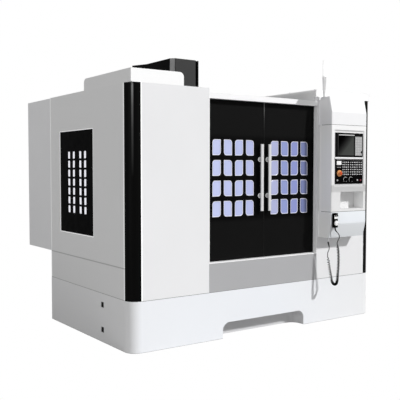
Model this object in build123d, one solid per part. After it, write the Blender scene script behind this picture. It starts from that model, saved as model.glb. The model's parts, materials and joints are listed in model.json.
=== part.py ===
"""Vertical machining centre: cast bed and column, moving saddle, table and head, sheet-metal enclosure.

x runs along the front (right is +), y from the front panels to the rear, z up from the floor. The model is laid
out with x = 0 at the middle of the enclosure and y = 0 on the front panels, and is moved at the end so that the
origin is the middle of its box, on the floor. Millimetres throughout.
"""
from build123d import *
import math
import os

# Enclosure
width = 2970.0
half = width / 2
base_depth = 1700.0
rear_box_depth = 625.0
rear_face = base_depth + rear_box_depth
body_height = 2300.0
base_height = 447.0
waist_height = base_height + 278.0
sheet = 5.0
seam = 2.0
floor_gap = 3.0
corner_radius = 105.0
strip_depth = 100.0
base_flange = 60.0

# Doorway and doors
doorway_left = -673.0
doorway_right = 677.0
doorway_bottom = base_height + 274.0
doorway_top = body_height - 90.0
header_top = doorway_top + 50.0
sill_bottom = doorway_bottom - 10.0
sill_flange = 8.0
frame_depth = 50.0
door_plane = 55.0
door_depth = 30.0
door_skin = 4.0
door_seam_x = (doorway_left + doorway_right) / 2 + 11.0
door_lap = 20.0
door_gap = 0.5
track_end = half - 145.0
track_depth = 40.0
track_height = 15.0
cell_width = 97.0
cell_height = 147.0
cell_radius = 30.0
cell_pitch_x = 130.5
cell_pitch_z = 190.0
cell_rows = 4
cell_columns = 4
cell_top_z = doorway_top - 437.0
left_cell_x = door_seam_x - 562.0
right_cell_x = door_seam_x + 140.0
pane_margin = 18.0
pane_thickness = 5.0

# Door handles
handle_offset = 48.0
handle_width = 32.0
handle_thickness = 19.0
handle_length = 640.0
handle_drop = 400.0
handle_top = doorway_top - handle_drop
handle_bottom = handle_top - handle_length
handle_standoff = 26.0
handle_post_radius = 20.0
handle_post_inset = 146.0

# Side windows
window_length = 762.0
window_setback = 242.0
window_rear = base_depth - window_setback
window_front = window_rear - window_length
window_bottom = waist_height + 218.0
window_top = body_height - 352.0
window_lap = 20.0
slot_width = 56.0
slot_height = 75.0
slot_radius = 14.0
slot_rows = 7
slot_pitch_z = 88.0
slot_bottom_z = window_bottom + 237.0
slot_column_offsets = (189.0, 295.0, 442.0, 553.0)
slot_columns_y = [window_front + offset for offset in slot_column_offsets]

# Front cut-out with its kick recess, and side slots
cutout_left = -515.0
cutout_right = 500.0
cutout_height = 150.0
cutout_radius = 75.0
side_slot_y = 500.0
side_slot_width = 55.0
side_slot_height = 50.0
side_slot_z = (92.0, 320.0)
kick_depth = 150.0
kick_corner = 90.0

# Raised top boxes
left_box_inset = 12.0
left_box_right = doorway_left - 273.0
left_box_height = 112.0
right_box_left = doorway_right - 8.0
right_box_front = 30.0
right_box_height = 78.0
top_box_setback = 795.0
top_box_depth = base_depth - top_box_setback
top_box_radius = 42.0
roof_sheet = 4.0
roof_flange_drop = 50.0

# Bed, feet and column
bed_half_width = 450.0
bed_front = 250.0
bed_rear = base_depth + 350.0
bed_bottom = 60.0
bed_top = base_height + 73.0
bed_wall = 40.0
bed_deck = 140.0
bed_rib = 25.0
bed_cell_columns = 3
bed_cell_rows = 6
foot_radius = 60.0
foot_pad = 22.0
foot_stud_radius = 16.0
foot_nut_radius = 28.0
foot_inset = 70.0
column_front = base_depth - 190.0
column_rear = base_depth + 400.0
column_rear_top = column_rear - 120.0
column_top = body_height - 30.0
column_half_width = 300.0
column_foot_height = 180.0
arch_half_width = 272.0
arch_height = 200.0
arch_radius = 40.0
column_pocket = 280.0
bulkhead_y = column_front + 50.0

# Guide rails, ball screws and motors
rail_width = 45.0
rail_height = 45.0
rail_neck = 32.0
rail_clearance = 0.3
y_rail_offset = 200.0
y_rail_front = bed_front + 50.0
x_rail_offset = 180.0
z_rail_offset = 200.0
z_rail_bottom = bed_top + 380.0
z_rail_top = column_top - 70.0
shoe_length = 100.0
shoe_width = 90.0
shoe_gap = 5.0
screw_radius = 20.0
journal_radius = 15.0
running_clearance = 0.05
y_screw_z = bed_top - 45.0
z_screw_y = column_front + 45.0
screw_channel = 60.0
motor_half = 60.0
motor_length = 190.0
motor_flange = 12.0

# Saddle and table
axis_y = column_front - 610.0
saddle_half_length = 660.0
saddle_half_depth = 260.0
saddle_bottom = bed_top + 50.0
saddle_top = saddle_bottom + 160.0
table_half_length = 500.0
table_half_depth = 250.0
table_bottom = saddle_top + 50.0
table_top = table_bottom + 120.0
x_screw_z = saddle_top - 70.0
t_slot_pitch = 90.0
t_slot_count = 5
t_slot_width = 18.0
t_slot_neck = 20.0
t_slot_wide = 30.0
t_slot_foot = 14.0

# Head and spindle
nose_drop = 780.0
nose_z = body_height - nose_drop
head_half_width = 190.0
head_plate_half_width = 250.0
head_front = axis_y - 140.0
head_bottom = nose_z + 60.0
head_plate_rear = column_front - 50.0
head_plate_front = head_plate_rear - 60.0
head_plate_bottom = head_bottom + 20.0
head_plate_top = head_plate_bottom + 460.0
head_deck = head_bottom + 380.0
nose_radius = 64.0
spindle_radius = 45.0
taper_gauge_radius = 22.225
taper_length = 65.0
taper_ratio = 7.0 / 24.0
drawbar_radius = 9.0
spindle_motor_half = 95.0
spindle_motor_top = head_deck + 340.0

# Tool magazine
tool_count = 12
tool_circle = 300.0
magazine_travel = 330.0
magazine_x = -(tool_circle + magazine_travel)
disc_radius = 268.0
disc_bottom = nose_z - 110.0
disc_thickness = 30.0
hub_pin_radius = 20.0
hub_cap_radius = 32.0
claw_width = 64.0
claw_thickness = 12.0
claw_slot_radius = 23.0
claw_inner = 225.0
claw_outer = 338.0
beam_left = -column_half_width - 600.0
beam_front = column_front + 10.0
beam_rear = beam_front + 100.0
beam_bottom = nose_z + 120.0
beam_top = beam_bottom + 120.0
carriage_half_length = 80.0
carriage_x = magazine_x - 150.0
carriage_lip = 15.0
arm_bottom = disc_bottom + 60.0
arm_thickness = 30.0

# Bellows
bellows_half_width = 245.0
bellows_top = saddle_bottom + 70.0
bellows_bottom = bed_top + 6.0
bellows_skin = 3.0
bellows_fold = 14.0
bellows_pitch = 36.0
z_bellows_half_width = 240.0
z_bellows_front = column_front - 90.0
z_bellows_rear = column_front - 54.0
z_bellows_bottom = saddle_top + 30.0

# Chip pan
pan_sheet = 4.0
pan_front = door_plane + 40.0
pan_outer_z = bed_top + 120.0
pan_lip = 150.0
pan_wall_height = 180.0

# Rear cabinet, its door and latch
recess_half_width = column_half_width + 45.0
recess_depth = 410.0
cabinet_door_left = -half + 60.0
cabinet_door_width = half - 485.0
cabinet_door_bottom = waist_height + 75.0
cabinet_door_height = body_height - waist_height - 155.0
cabinet_door_depth = 22.0
cabinet_door_lap = 15.0
hinge_pin_radius = 6.0
hinge_barrel_radius = 11.0
hinge_barrel_length = 70.0
hinge_offset = 16.0
hinge_inset = 160.0
latch_inset = 60.0
latch_boss_radius = 22.0
latch_lever = 120.0
latch_cam = 60.0
latch_shaft_radius = 8.0
vent_count = 12
vent_width = 260.0
vent_height = 8.0
vent_pitch = 30.0
vent_z = body_height - 450.0
vent_x = half - 545.0
plate_height = cabinet_door_height - 170.0
drive_count = 5
drive_width = 110.0
drive_depth = 170.0
drive_height = 380.0
drive_rise = 760.0
module_rise = 420.0
module_height = 140.0
module_depth = 90.0
terminal_rise = 90.0
terminal_height = 120.0
terminal_depth = 70.0

# Black cover over the column top
cover_front = column_front - 110.0
cover_rear = rear_face - 25.0
cover_half_width = 178.0
cover_chamfer = 43.0
cover_top = body_height + 500.0
cover_top_rear = cover_top + 25.0
cover_knee = cover_rear - 350.0

# Operator pillar
pillar_width = 507.0
lower_cover_height = 262.0
pillar_left = doorway_right + 18.0
pillar_right = pillar_left + pillar_width
pillar_front = -180.0
pillar_neck = 35.0
pillar_neck_inset = 15.0
pillar_top = body_height - 3.0
hood_seam_z = pillar_top - 282.0
hood_slant_z = hood_seam_z + 127.0
hood_slant = 35.0
hood_chamfer = 45.0
lower_slant = 32.0
pillar_edge = 10.0
pillar_wall = 5.0
bezel_left = pillar_left + 37.0
bezel_right = pillar_right - 32.0
bezel_height = 573.0
bezel_top = hood_seam_z - 50.0
bezel_bottom = bezel_top - bezel_height
bezel_depth = 12.0
bezel_slope = 14.0
niche_left = pillar_left + 130.0
niche_right = pillar_right - 42.0
niche_height = 174.0
niche_top = bezel_bottom - 50.0
niche_bottom = niche_top - niche_height
lower_seam_z = niche_bottom - 26.0
pillar_bottom = lower_seam_z - lower_cover_height
lower_slant_z = pillar_bottom + 140.0
niche_depth = 130.0

# Screen, keys and controls
screen_left = bezel_left + 23.0
screen_width = 397.0
screen_height = 243.0
screen_bottom = bezel_top - 28.0 - screen_height
screen_thickness = 10.0
display_inset_left = 35.0
display_inset_bottom = 12.0
display_width = 235.0
display_height = 212.0
display_depth = 3.0
softkeys_left = 275.0
softkeys_width = 105.0
softkeys_bottom = 12.0
softkeys_height = 197.0
softkeys_rise = 3.0
keys_left = screen_left
keys_width = 400.0
keys_bottom = bezel_bottom + 30.0
keys_height = 254.0
keys_thickness = 8.0
key_size = 17.0
key_rise = 1.5
key_pitch_x = 26.0
key_pitch_z = 24.5
left_key_columns = 4
right_key_columns = 6
key_rows = 6
key_group_left = 97.0
key_group_right = 209.0
key_grid_bottom = 86.0
stop_x = keys_left + 54.0
stop_z = keys_bottom + 107.0
stop_collar_radius = 30.0
stop_collar_height = 8.0
stop_head_radius = 20.0
stop_head_height = 13.0
stop_stem_radius = 9.0
stop_travel = 6.0
knob_z = keys_bottom + 44.0
knob_x = (keys_left + 141.0, keys_left + 222.0)
knob_radius = 17.0
knob_height = 16.0
knob_shaft_radius = 4.0
button_x = (keys_left + 27.0, keys_left + 318.0, keys_left + 363.0)
button_radius = 7.0
button_height = 6.0
button_z = keys_bottom + 36.0

# Hand-wheel pendant, holder and gland
pendant_x = pillar_left + 36.0
pendant_width = 54.0
pendant_bottom = lower_seam_z - 155.0
pendant_height = 145.0
pendant_thickness = 28.0
pendant_edge = 8.0
holder_thickness = 7.0
holder_width = 40.0
holder_shift = 4.0
holder_height = 70.0
wheel_radius = 24.0
wheel_height = 12.0
wheel_inset = 45.0
wheel_shaft_radius = 5.0
selector_radius = 7.0
selector_height = 10.0
selector_spread = 12.0
selector_inset = 26.0
gland_x = pillar_left + 22.0
gland_y = -120.0
gland_radius = 12.0
gland_length = 42.0

# Curly cord; its routes start at the lower left corner of the pillar, on the front panels
cord_radius = 3.75
curl_radius = 12.0
lead_top_route = [
    (36, -201, 107), (36.5, -201.3, 89), (47, -203.5, 71), (70, -206, 52), (89, -207, 32), (93, -207, 9),
    (84, -207, -12), (68, -206.5, -30), (62, -206, -49),
]
curl_route = [
    (62, -206, -49), (68, -211, -100), (71, -215, -154), (70.5, -218, -212), (68, -219, -272),
    (64, -218, -328), (60.5, -216, -386), (58.5, -213, -445.5), (62.3, -187.8, -471), (67.7, -152.2, -471),
    (71.5, -127, -445.5), (62, -122, -388), (50, -119, -332), (38.5, -117.5, -276), (28, -117, -224),
    (17.5, -118, -171),
]
lead_bottom_route = [
    (17.5, -118, -171), (19, -118, -156), (27, -119, -139), (37, -120, -123), (40, -121, -102),
    (34, -121, -81), (26.5, -120.5, -61), (22, -120, -42),
]

# Signal tower
tower_x = pillar_left + 20.0
tower_y = -50.0
tower_pole_radius = 10.0
tower_lens_bottom = pillar_top + 203.0
tower_lens_radius = 20.0
tower_lens_height = 150.0
tower_cap_height = 12.0


# Helpers
def block(x0, x1, y0, y1, z0, z1):
    """A box between two corners."""
    return Pos((x0 + x1) / 2, (y0 + y1) / 2, (z0 + z1) / 2) * Box(x1 - x0, y1 - y0, z1 - z0)


def upright(x, y, z0, z1, radius):
    """A vertical cylinder."""
    return Pos(x, y, (z0 + z1) / 2) * Cylinder(radius, z1 - z0)


def along_x(x0, x1, y, z, radius):
    """A cylinder along x."""
    return Pos((x0 + x1) / 2, y, z) * Rot(0, 90, 0) * Cylinder(radius, x1 - x0)


def along_y(x, y0, y1, z, radius):
    """A cylinder along y."""
    return Pos(x, (y0 + y1) / 2, z) * Rot(90, 0, 0) * Cylinder(radius, y1 - y0)


def prism(points, direction, length):
    """A straight prism over a flat outline of 3-D points."""
    return extrude(make_face(Polyline(*points, close=True)), amount=length, dir=direction)


def plan_prism(points, z0, z1):
    """A vertical prism over (x, y) points."""
    return prism([(x, y, z0) for x, y in points], (0, 0, 1), z1 - z0)


def side_prism(points, x0, x1):
    """A prism along x over (y, z) points."""
    return prism([(x0, y, z) for y, z in points], (1, 0, 0), x1 - x0)


def front_prism(points, y0, y1):
    """A prism along y over (x, z) points."""
    return prism([(x, y0, z) for x, z in points], (0, 1, 0), y1 - y0)


def mirrored(solid):
    """The same solid on the other side of the machine's middle plane."""
    return mirror(solid, about=Plane.YZ)


def edges_along(solid, axis, near):
    """Edges parallel to an axis whose middle is within a millimetre of one of the given points."""
    found = []
    for edge in solid.edges().filter_by(axis):
        middle = edge.center()
        for point in near:
            gaps = [abs(m - p) for m, p in zip(middle, point) if p is not None]
            if max(gaps) < 1:
                found.append(edge)
    return found


def leaf(w, h, radius, lean):
    """A window cell in the XZ plane with two opposite corners rounded; lean is 1 or -1."""
    cell = Rectangle(w, h)
    corners = [v for v in cell.vertices() if v.X * v.Y * lean > 0]
    return fillet(corners, radius)


def rounded_shell(inset, z0, z1):
    """The base outline, drawn in by an inset, with its two front corners rounded."""
    solid = block(-half + inset, half - inset, inset, base_depth + (1 if inset else 0), z0, z1)
    corners = edges_along(solid, Axis.Z, [(-half + inset, inset, None), (half - inset, inset, None)])
    return fillet(corners, corner_radius - inset)


def guide_rail(length):
    """A profiled guide rail along x, from x = 0, standing on z = 0, with its middle on y = 0."""
    hw, hn, h = rail_width / 2, rail_neck / 2, rail_height
    outline = [(-hw, 0), (-hw, 0.35 * h), (-hn, 0.48 * h), (-hn, 0.62 * h), (-hw, 0.75 * h), (-hw, h)]
    outline += [(-y, z) for y, z in reversed(outline)]
    return side_prism(outline, 0, length)


def servo_motor():
    """A servo motor along +x: flange at x = 0, ribbed square body, encoder can."""
    m = motor_half
    flange = block(0, motor_flange, -m, m, -m, m)
    body = block(motor_flange, motor_length * 0.72, -0.86 * m, 0.86 * m, -0.86 * m, 0.86 * m)
    body = chamfer(body.edges().filter_by(Axis.X), 0.2 * m)
    can = along_x(motor_length * 0.72, motor_length, 0, 0, 0.7 * m)
    plug = block(motor_length * 0.76, motor_length * 0.92, -12, 12, 0.6 * m, 0.95 * m)
    return flange + body + can + plug


# Bed, feet and column
def make_base_casting():
    w = bed_half_width
    bed = block(-w, w, bed_front, bed_rear, bed_bottom, bed_top)
    span_x = (2 * (w - bed_wall) - (bed_cell_columns - 1) * bed_rib) / bed_cell_columns
    span_y = (bed_rear - bed_front - 2 * bed_wall - (bed_cell_rows - 1) * bed_rib) / bed_cell_rows
    for i in range(bed_cell_columns):
        for j in range(bed_cell_rows):
            x0 = -w + bed_wall + i * (span_x + bed_rib)
            y0 = bed_front + bed_wall + j * (span_y + bed_rib)
            bed -= block(x0, x0 + span_x, y0, y0 + span_y, bed_bottom, bed_top - bed_deck)
    for x, y in foot_places():
        bed += block(x - foot_radius, x + foot_radius, y - foot_radius, y + foot_radius, bed_bottom, bed_bottom + 80)
    front_bearing = y_rail_front + bed_wall
    rear_bearing = base_depth + 60
    channel_floor = y_screw_z - 50
    bed -= block(-screw_channel, screw_channel, front_bearing, rear_bearing, channel_floor, bed_top)
    hole = journal_radius + running_clearance
    bed -= along_y(0, y_rail_front, rear_bearing + bed_wall, y_screw_z, hole)
    bed -= block(-motor_half - 20, motor_half + 20, rear_bearing + bed_wall, bed_rear,
                 y_screw_z - motor_half - 10, bed_top)
    bed += block(-bellows_half_width, bellows_half_width, bulkhead_y, bulkhead_y + 20, bed_top, bellows_top + 10)
    return bed


def foot_places():
    middle = (bed_front + bed_rear) / 2
    return [(side * (bed_half_width - foot_inset), y)
            for side in (-1, 1) for y in (bed_front + foot_inset, middle, bed_rear - foot_inset)]


def make_levelling_feet():
    feet = []
    for x, y in foot_places():
        pad = upright(x, y, 0, foot_pad, foot_radius)
        pad = chamfer(pad.edges().sort_by(Axis.Z)[-1], 8)
        stud = upright(x, y, foot_pad, bed_bottom, foot_stud_radius)
        nut = Pos(x, y, bed_bottom - 20) * extrude(RegularPolygon(foot_nut_radius, 6), amount=20)
        feet.append(pad + stud + nut)
    return feet


def make_column():
    w, foot = column_half_width, bed_half_width
    knee = bed_top + column_foot_height
    outline = [(-foot, bed_top), (-foot, bed_top + 50), (-w, knee), (-w, column_top)]
    outline += [(-x, z) for x, z in reversed(outline)]
    column = front_prism(outline, column_front, column_rear)
    slope = [(column_rear + 1, knee), (column_rear + 1, column_top + 1), (column_rear_top, column_top + 1),
             (column_rear_top, column_top), (column_rear, knee)]
    column -= side_prism(slope, -foot, foot)
    arch = block(-arch_half_width, arch_half_width, column_front - 1, column_rear + 1, bed_top - 1,
                 bed_top + arch_height)
    arch = fillet(edges_along(arch, Axis.Y, [(-arch_half_width, None, bed_top + arch_height),
                                             (arch_half_width, None, bed_top + arch_height)]), arch_radius)
    column -= arch
    pocket_front = z_screw_y + screw_channel + 60
    ledge = z_bellows_bottom
    for z0, z1 in ((ledge + 60, ledge + 60 + 0.47 * (column_top - ledge - 120)),
                   (ledge + 60 + 0.53 * (column_top - ledge - 120), column_top - 60)):
        column -= block(-column_pocket / 2, column_pocket / 2, pocket_front, column_rear + 1, z0, z1)
    channel_top = column_top - 60
    column -= block(-screw_channel, screw_channel, column_front - 1, z_screw_y + 50, ledge, channel_top)
    hole = journal_radius + running_clearance
    column -= upright(0, z_screw_y, ledge - 38, column_top + 1, hole)
    column += block(-z_bellows_half_width, z_bellows_half_width, z_bellows_front, column_front, ledge - 15, ledge)
    return column


def make_guide_rails():
    y_rail = Rot(0, 0, 90) * guide_rail(column_front - 10 - y_rail_front)
    z_rail = Rot(0, -90, 0) * guide_rail(z_rail_top - z_rail_bottom)
    z_rail = Pos(0, column_front, z_rail_bottom) * Rot(0, 0, 90) * z_rail
    rails = []
    for side in (-1, 1):
        rails.append(Pos(side * y_rail_offset, y_rail_front, bed_top) * y_rail)
        rails.append(Pos(side * z_rail_offset, 0, 0) * z_rail)
    return rails


def make_axis_motors():
    rear_bearing = base_depth + 60 + bed_wall
    y_motor = Pos(0, rear_bearing, y_screw_z) * Rot(0, 0, 90) * servo_motor()
    z_motor = Pos(0, z_screw_y, column_top) * Rot(0, -90, 0) * servo_motor()
    return [y_motor, z_motor]


def ball_screw(start, length, axis):
    """A ball screw with a journal at each end; its thread is a surface detail."""
    journal = 34.0
    main = Cylinder(screw_radius, length - 2 * journal)
    screw = main
    for side in (-1, 1):
        screw += Pos(0, 0, side * (length / 2 - journal / 2)) * Cylinder(journal_radius, journal)
    turn = {"x": Rot(0, 90, 0), "y": Rot(-90, 0, 0), "z": Rot(0, 0, 0)}[axis]
    shift = {"x": Pos(length / 2, 0, 0), "y": Pos(0, length / 2, 0), "z": Pos(0, 0, length / 2)}[axis]
    return Pos(*start) * shift * turn * screw


def make_y_ballscrew():
    front = y_rail_front + bed_wall - 32
    rear = base_depth + 60 + 32
    return ball_screw((0, front, y_screw_z), rear - front, "y")


def make_x_ballscrew():
    end = saddle_half_length - 3
    return ball_screw((-end, axis_y, x_screw_z), 2 * end, "x")


def make_z_ballscrew():
    bottom = z_bellows_bottom - 32
    top = column_top - 60 + 32
    return ball_screw((0, z_screw_y, bottom), top - bottom, "z")


# Saddle and table
def shoes(places, seat, top):
    """Guide shoes along x on a rail that stands on z = seat; each place is the (x, y) of a shoe's middle."""
    channel = rail_width / 2 + rail_clearance
    blocks = None
    for x, y in places:
        shoe = block(x - shoe_length / 2, x + shoe_length / 2, y - shoe_width / 2, y + shoe_width / 2,
                     seat + shoe_gap, top)
        shoe -= block(x - shoe_length, x + shoe_length, y - channel, y + channel, seat,
                      seat + rail_height + rail_clearance)
        blocks = shoe if blocks is None else blocks + shoe
    return blocks


def make_saddle():
    length, d = saddle_half_length, saddle_half_depth
    saddle = block(-length, length, -d, d, saddle_bottom, saddle_top)
    taper = [(-length - 1, saddle_bottom - 1), (-bed_half_width + 60, saddle_bottom - 1), (-length - 1, x_screw_z - 70)]
    for cut in (front_prism(taper, -d - 1, d + 1), mirrored(front_prism(taper, -d - 1, d + 1))):
        saddle -= cut
    wall = 35.0
    saddle -= block(-length + wall, length - wall, -screw_channel, screw_channel, x_screw_z - 55, saddle_top)
    saddle -= along_x(-length - 1, length + 1, 0, x_screw_z, journal_radius + running_clearance)
    saddle = Pos(0, axis_y, 0) * saddle
    inset = d - shoe_length / 2 - 20
    carriers = Rot(0, 0, 90) * shoes([(x, y) for x in (-inset, inset) for y in (-y_rail_offset, y_rail_offset)],
                                     bed_top, saddle_bottom)
    saddle += Pos(0, axis_y, 0) * carriers
    nut = block(-50, 50, axis_y - 45, axis_y + 45, y_screw_z - 38, saddle_bottom)
    nut -= along_y(0, axis_y - 46, axis_y + 46, y_screw_z, screw_radius + running_clearance)
    return saddle + nut


def make_saddle_rails():
    rail = guide_rail(2 * saddle_half_length - 10)
    return [Pos(-saddle_half_length + 5, axis_y + side * x_rail_offset, saddle_top) * rail for side in (-1, 1)]


def make_x_axis_motor():
    return Pos(-saddle_half_length, axis_y, x_screw_z) * Rot(0, 0, 180) * servo_motor()


def make_table():
    table = block(-table_half_length, table_half_length, axis_y - table_half_depth, axis_y + table_half_depth,
                  table_bottom, table_top)
    table = chamfer(table.edges().filter_by(Axis.Z), 6)
    for i in range(t_slot_count):
        y = axis_y + (i - (t_slot_count - 1) / 2) * t_slot_pitch
        neck, wide = t_slot_width / 2, t_slot_wide / 2
        foot = table_top - t_slot_neck
        outline = [(y - neck, table_top + 1), (y - neck, foot), (y - wide, foot), (y - wide, foot - t_slot_foot),
                   (y + wide, foot - t_slot_foot), (y + wide, foot), (y + neck, foot), (y + neck, table_top + 1)]
        table -= side_prism(outline, -table_half_length - 1, table_half_length + 1)
    spread = 190.0
    carriers = shoes([(x, side * x_rail_offset) for x in (-spread, spread) for side in (-1, 1)],
                     saddle_top, table_bottom)
    table += Pos(0, axis_y, 0) * carriers
    nut = block(-60, 60, axis_y - 45, axis_y + 45, x_screw_z - 38, table_bottom)
    nut -= along_x(-61, 61, axis_y, x_screw_z, screw_radius + running_clearance)
    return table + nut


# Head and spindle
def make_spindle_head():
    rear = head_plate_front + 1
    profile = [(head_front, head_bottom), (head_front, head_deck - 70), (head_front + 50, head_deck),
               (axis_y + 170, head_deck), (rear, head_plate_top - 20), (rear, head_plate_bottom),
               (axis_y + 170, head_bottom)]
    head = side_prism(profile, -head_half_width, head_half_width)
    head = fillet(edges_along(head, Axis.Z, [(-head_half_width, head_front, None), (head_half_width, head_front, None)]),
                  40)
    head += block(-head_plate_half_width, head_plate_half_width, head_plate_front, head_plate_rear,
                  head_plate_bottom, head_plate_top)
    seat, channel = column_front, rail_width / 2 + rail_clearance
    for side in (-1, 1):
        x = side * z_rail_offset
        for z in (head_plate_bottom + 70, head_plate_top - 70):
            shoe = block(x - shoe_width / 2, x + shoe_width / 2, head_plate_rear, seat - shoe_gap,
                         z - shoe_length / 2, z + shoe_length / 2)
            head += shoe
        head -= block(x - channel, x + channel, seat - rail_height - rail_clearance, seat,
                      head_plate_bottom, head_plate_top)
    z = (head_plate_bottom + head_plate_top) / 2
    nut = block(-45, 45, head_plate_rear, z_screw_y + 38, z - 45, z + 45)
    head += nut
    head -= upright(0, z_screw_y, z - 46, z + 46, screw_radius + running_clearance)
    head -= upright(0, axis_y, head_bottom - 1, head_deck + 1, spindle_radius + running_clearance)
    return head


def make_spindle():
    nose_top = head_bottom - 0.3
    spindle = upright(0, axis_y, nose_z, nose_top, nose_radius)
    spindle = chamfer(edges_along(spindle, Axis.Z, []) or spindle.edges().sort_by(Axis.Z)[0], 6)
    spindle += upright(0, axis_y, nose_top, head_deck - 5, spindle_radius)
    small = taper_gauge_radius - taper_length * taper_ratio / 2
    taper = Pos(0, axis_y, nose_z + taper_length / 2) * Cone(taper_gauge_radius, small, taper_length)
    spindle -= taper
    spindle -= upright(0, axis_y, nose_z + taper_length - 1, head_deck, drawbar_radius)
    for side in (-1, 1):
        key = block(side * 38 - 8, side * 38 + 8, axis_y - 8, axis_y + 8, nose_z - 6, nose_z + 4)
        spindle += key
    return spindle


def make_spindle_motor():
    m = spindle_motor_half
    motor = block(-m - 10, m + 10, axis_y - m - 10, axis_y + m + 10, head_deck, head_deck + 20)
    body = block(-m, m, axis_y - m, axis_y + m, head_deck + 20, spindle_motor_top - 50)
    motor += chamfer(body.edges().filter_by(Axis.Z), 22)
    motor += upright(0, axis_y, spindle_motor_top - 50, spindle_motor_top, m - 12)
    motor += block(m - 5, m + 35, axis_y - 45, axis_y + 45, spindle_motor_top - 160, spindle_motor_top - 80)
    return motor


# Tool magazine
def make_magazine_bracket():
    beam = block(beam_left, -column_half_width, beam_front, beam_rear, beam_bottom, beam_top)
    gusset = [(-column_half_width, beam_bottom), (-column_half_width, beam_bottom - 260), (beam_left + 250, beam_bottom)]
    return beam + front_prism(gusset, beam_rear - 30, beam_rear)


def make_magazine_carriage():
    x0, x1 = carriage_x - carriage_half_length, carriage_x + carriage_half_length
    gap = rail_clearance
    carriage = block(x0, x1, beam_front - 40, beam_front + 40, beam_bottom - carriage_lip, beam_top + carriage_lip)
    carriage -= block(x0 - 1, x1 + 1, beam_front - gap, beam_front + 41, beam_bottom - gap, beam_top + gap)
    front = beam_front - 40
    carriage += block(x0, x1, front - 20, front, arm_bottom, beam_top + carriage_lip)
    outline = [(x0, front), (x1, front), (magazine_x + 60, axis_y + 60), (magazine_x + 60, axis_y - 60),
               (magazine_x - 60, axis_y - 60), (magazine_x - 60, axis_y + 60)]
    carriage += plan_prism(outline, arm_bottom, arm_bottom + arm_thickness)
    carriage += upright(magazine_x, axis_y, arm_bottom + arm_thickness, arm_bottom + 170, 55)
    disc_top = disc_bottom + disc_thickness
    carriage += upright(magazine_x, axis_y, disc_bottom - 20, arm_bottom, hub_pin_radius)
    carriage += upright(magazine_x, axis_y, disc_top + 0.3, arm_bottom, hub_cap_radius)
    carriage += upright(magazine_x, axis_y, disc_bottom - 30, disc_bottom - 0.3, hub_cap_radius)
    return carriage


def make_tool_disc():
    disc = upright(magazine_x, axis_y, disc_bottom, disc_bottom + disc_thickness, disc_radius)
    disc -= upright(magazine_x, axis_y, disc_bottom - 1, disc_bottom + disc_thickness + 1,
                    hub_pin_radius + running_clearance)
    lightening = [Pos(magazine_x, axis_y, disc_bottom + disc_thickness / 2) * Rot(0, 0, 60 * i) * Pos(140, 0, 0)
                  * Cylinder(48, disc_thickness + 2) for i in range(6)]
    return disc - lightening


def make_tool_grippers():
    """Forked tool grippers under the rim of the disc, each with its mouth facing out."""
    claw = block(claw_inner, claw_outer, -claw_width / 2, claw_width / 2, disc_bottom - claw_thickness, disc_bottom)
    claw -= upright(tool_circle, 0, disc_bottom - claw_thickness - 1, disc_bottom + 1, claw_slot_radius)
    claw -= block(tool_circle, claw_outer + 1, -claw_slot_radius, claw_slot_radius,
                  disc_bottom - claw_thickness - 1, disc_bottom + 1)
    corners = [(claw_outer, side * claw_width / 2, None) for side in (-1, 1)]
    claw = chamfer(edges_along(claw, Axis.Z, corners), 5)
    return [Pos(magazine_x, axis_y, 0) * Rot(0, 0, 360 / tool_count * i) * claw for i in range(tool_count)]


# Bellows over the guideways
def fold_line(start, length):
    """Positions of the ridges and valleys along a bellows, valley first and last."""
    folds = 2 * round(length / bellows_pitch)
    return [(start + length * i / folds, i % 2) for i in range(folds + 1)]


def way_bellows(y0, y1):
    """A bellows like an upturned channel along y: pleated roof and sides, open below."""
    w = bellows_half_width
    outer = plan_prism(pleated_plan(w, y0, y1), bellows_bottom, bellows_top)
    roof = [(y, bellows_top - (0 if ridge else bellows_fold)) for y, ridge in fold_line(y0, y1 - y0)]
    outer &= side_prism([(y0, bellows_bottom)] + roof + [(y1, bellows_bottom)], -w - 1, w + 1)
    inner = w - bellows_fold - bellows_skin
    hollow = block(-inner, inner, y0 - 1, y1 + 1, bellows_bottom - 1, bellows_top - bellows_fold - bellows_skin)
    return outer - hollow


def pleated_plan(w, y0, y1):
    folds = fold_line(y0, y1 - y0)
    right = [(w - (0 if ridge else bellows_fold), y) for y, ridge in folds]
    return right + [(-x, y) for x, y in reversed(right)]


def make_front_bellows():
    return way_bellows(pan_front + pan_sheet, axis_y - saddle_half_depth)


def make_rear_bellows():
    return way_bellows(axis_y + saddle_half_depth, bulkhead_y)


def make_z_bellows():
    z0, z1 = z_bellows_bottom, head_plate_bottom
    folds = fold_line(z0, z1 - z0)
    front = [(z_bellows_front + (0 if ridge else bellows_fold), z) for z, ridge in folds]
    outline = front + [(z_bellows_rear, z1), (z_bellows_rear, z0)]
    return side_prism(outline, -z_bellows_half_width, z_bellows_half_width)


# Chip pan
def make_chip_pan():
    """Sloped trays either side of the bed, with a floor and an upright wall in front of it."""
    outer, inner = half - 2 * sheet, bed_half_width
    t = pan_sheet
    rear = base_depth
    slope = [(-outer, pan_outer_z), (-inner, bed_top), (-inner + pan_lip, bed_top), (-inner + pan_lip, bed_top + t),
             (-inner, bed_top + t), (-outer, pan_outer_z + t)]
    tray = front_prism(slope, pan_front, rear)
    tray -= block(-inner - 1, 0, column_front - 10, rear + 1, bed_top - 1, bed_top + 20)
    wall_top = bed_top + pan_wall_height
    tray += block(-outer, -outer + t, pan_front, rear, pan_outer_z, wall_top + 60)
    tray += block(-outer, -inner - 5, rear - t, rear, bed_top + 6, waist_height + 30)
    pan = tray + mirrored(tray)
    pan += block(-inner - 1, inner + 1, pan_front, bed_front + 40, bed_top, bed_top + t)
    pan += block(-outer, outer, pan_front, pan_front + t, bed_top, wall_top)
    return pan


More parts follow.
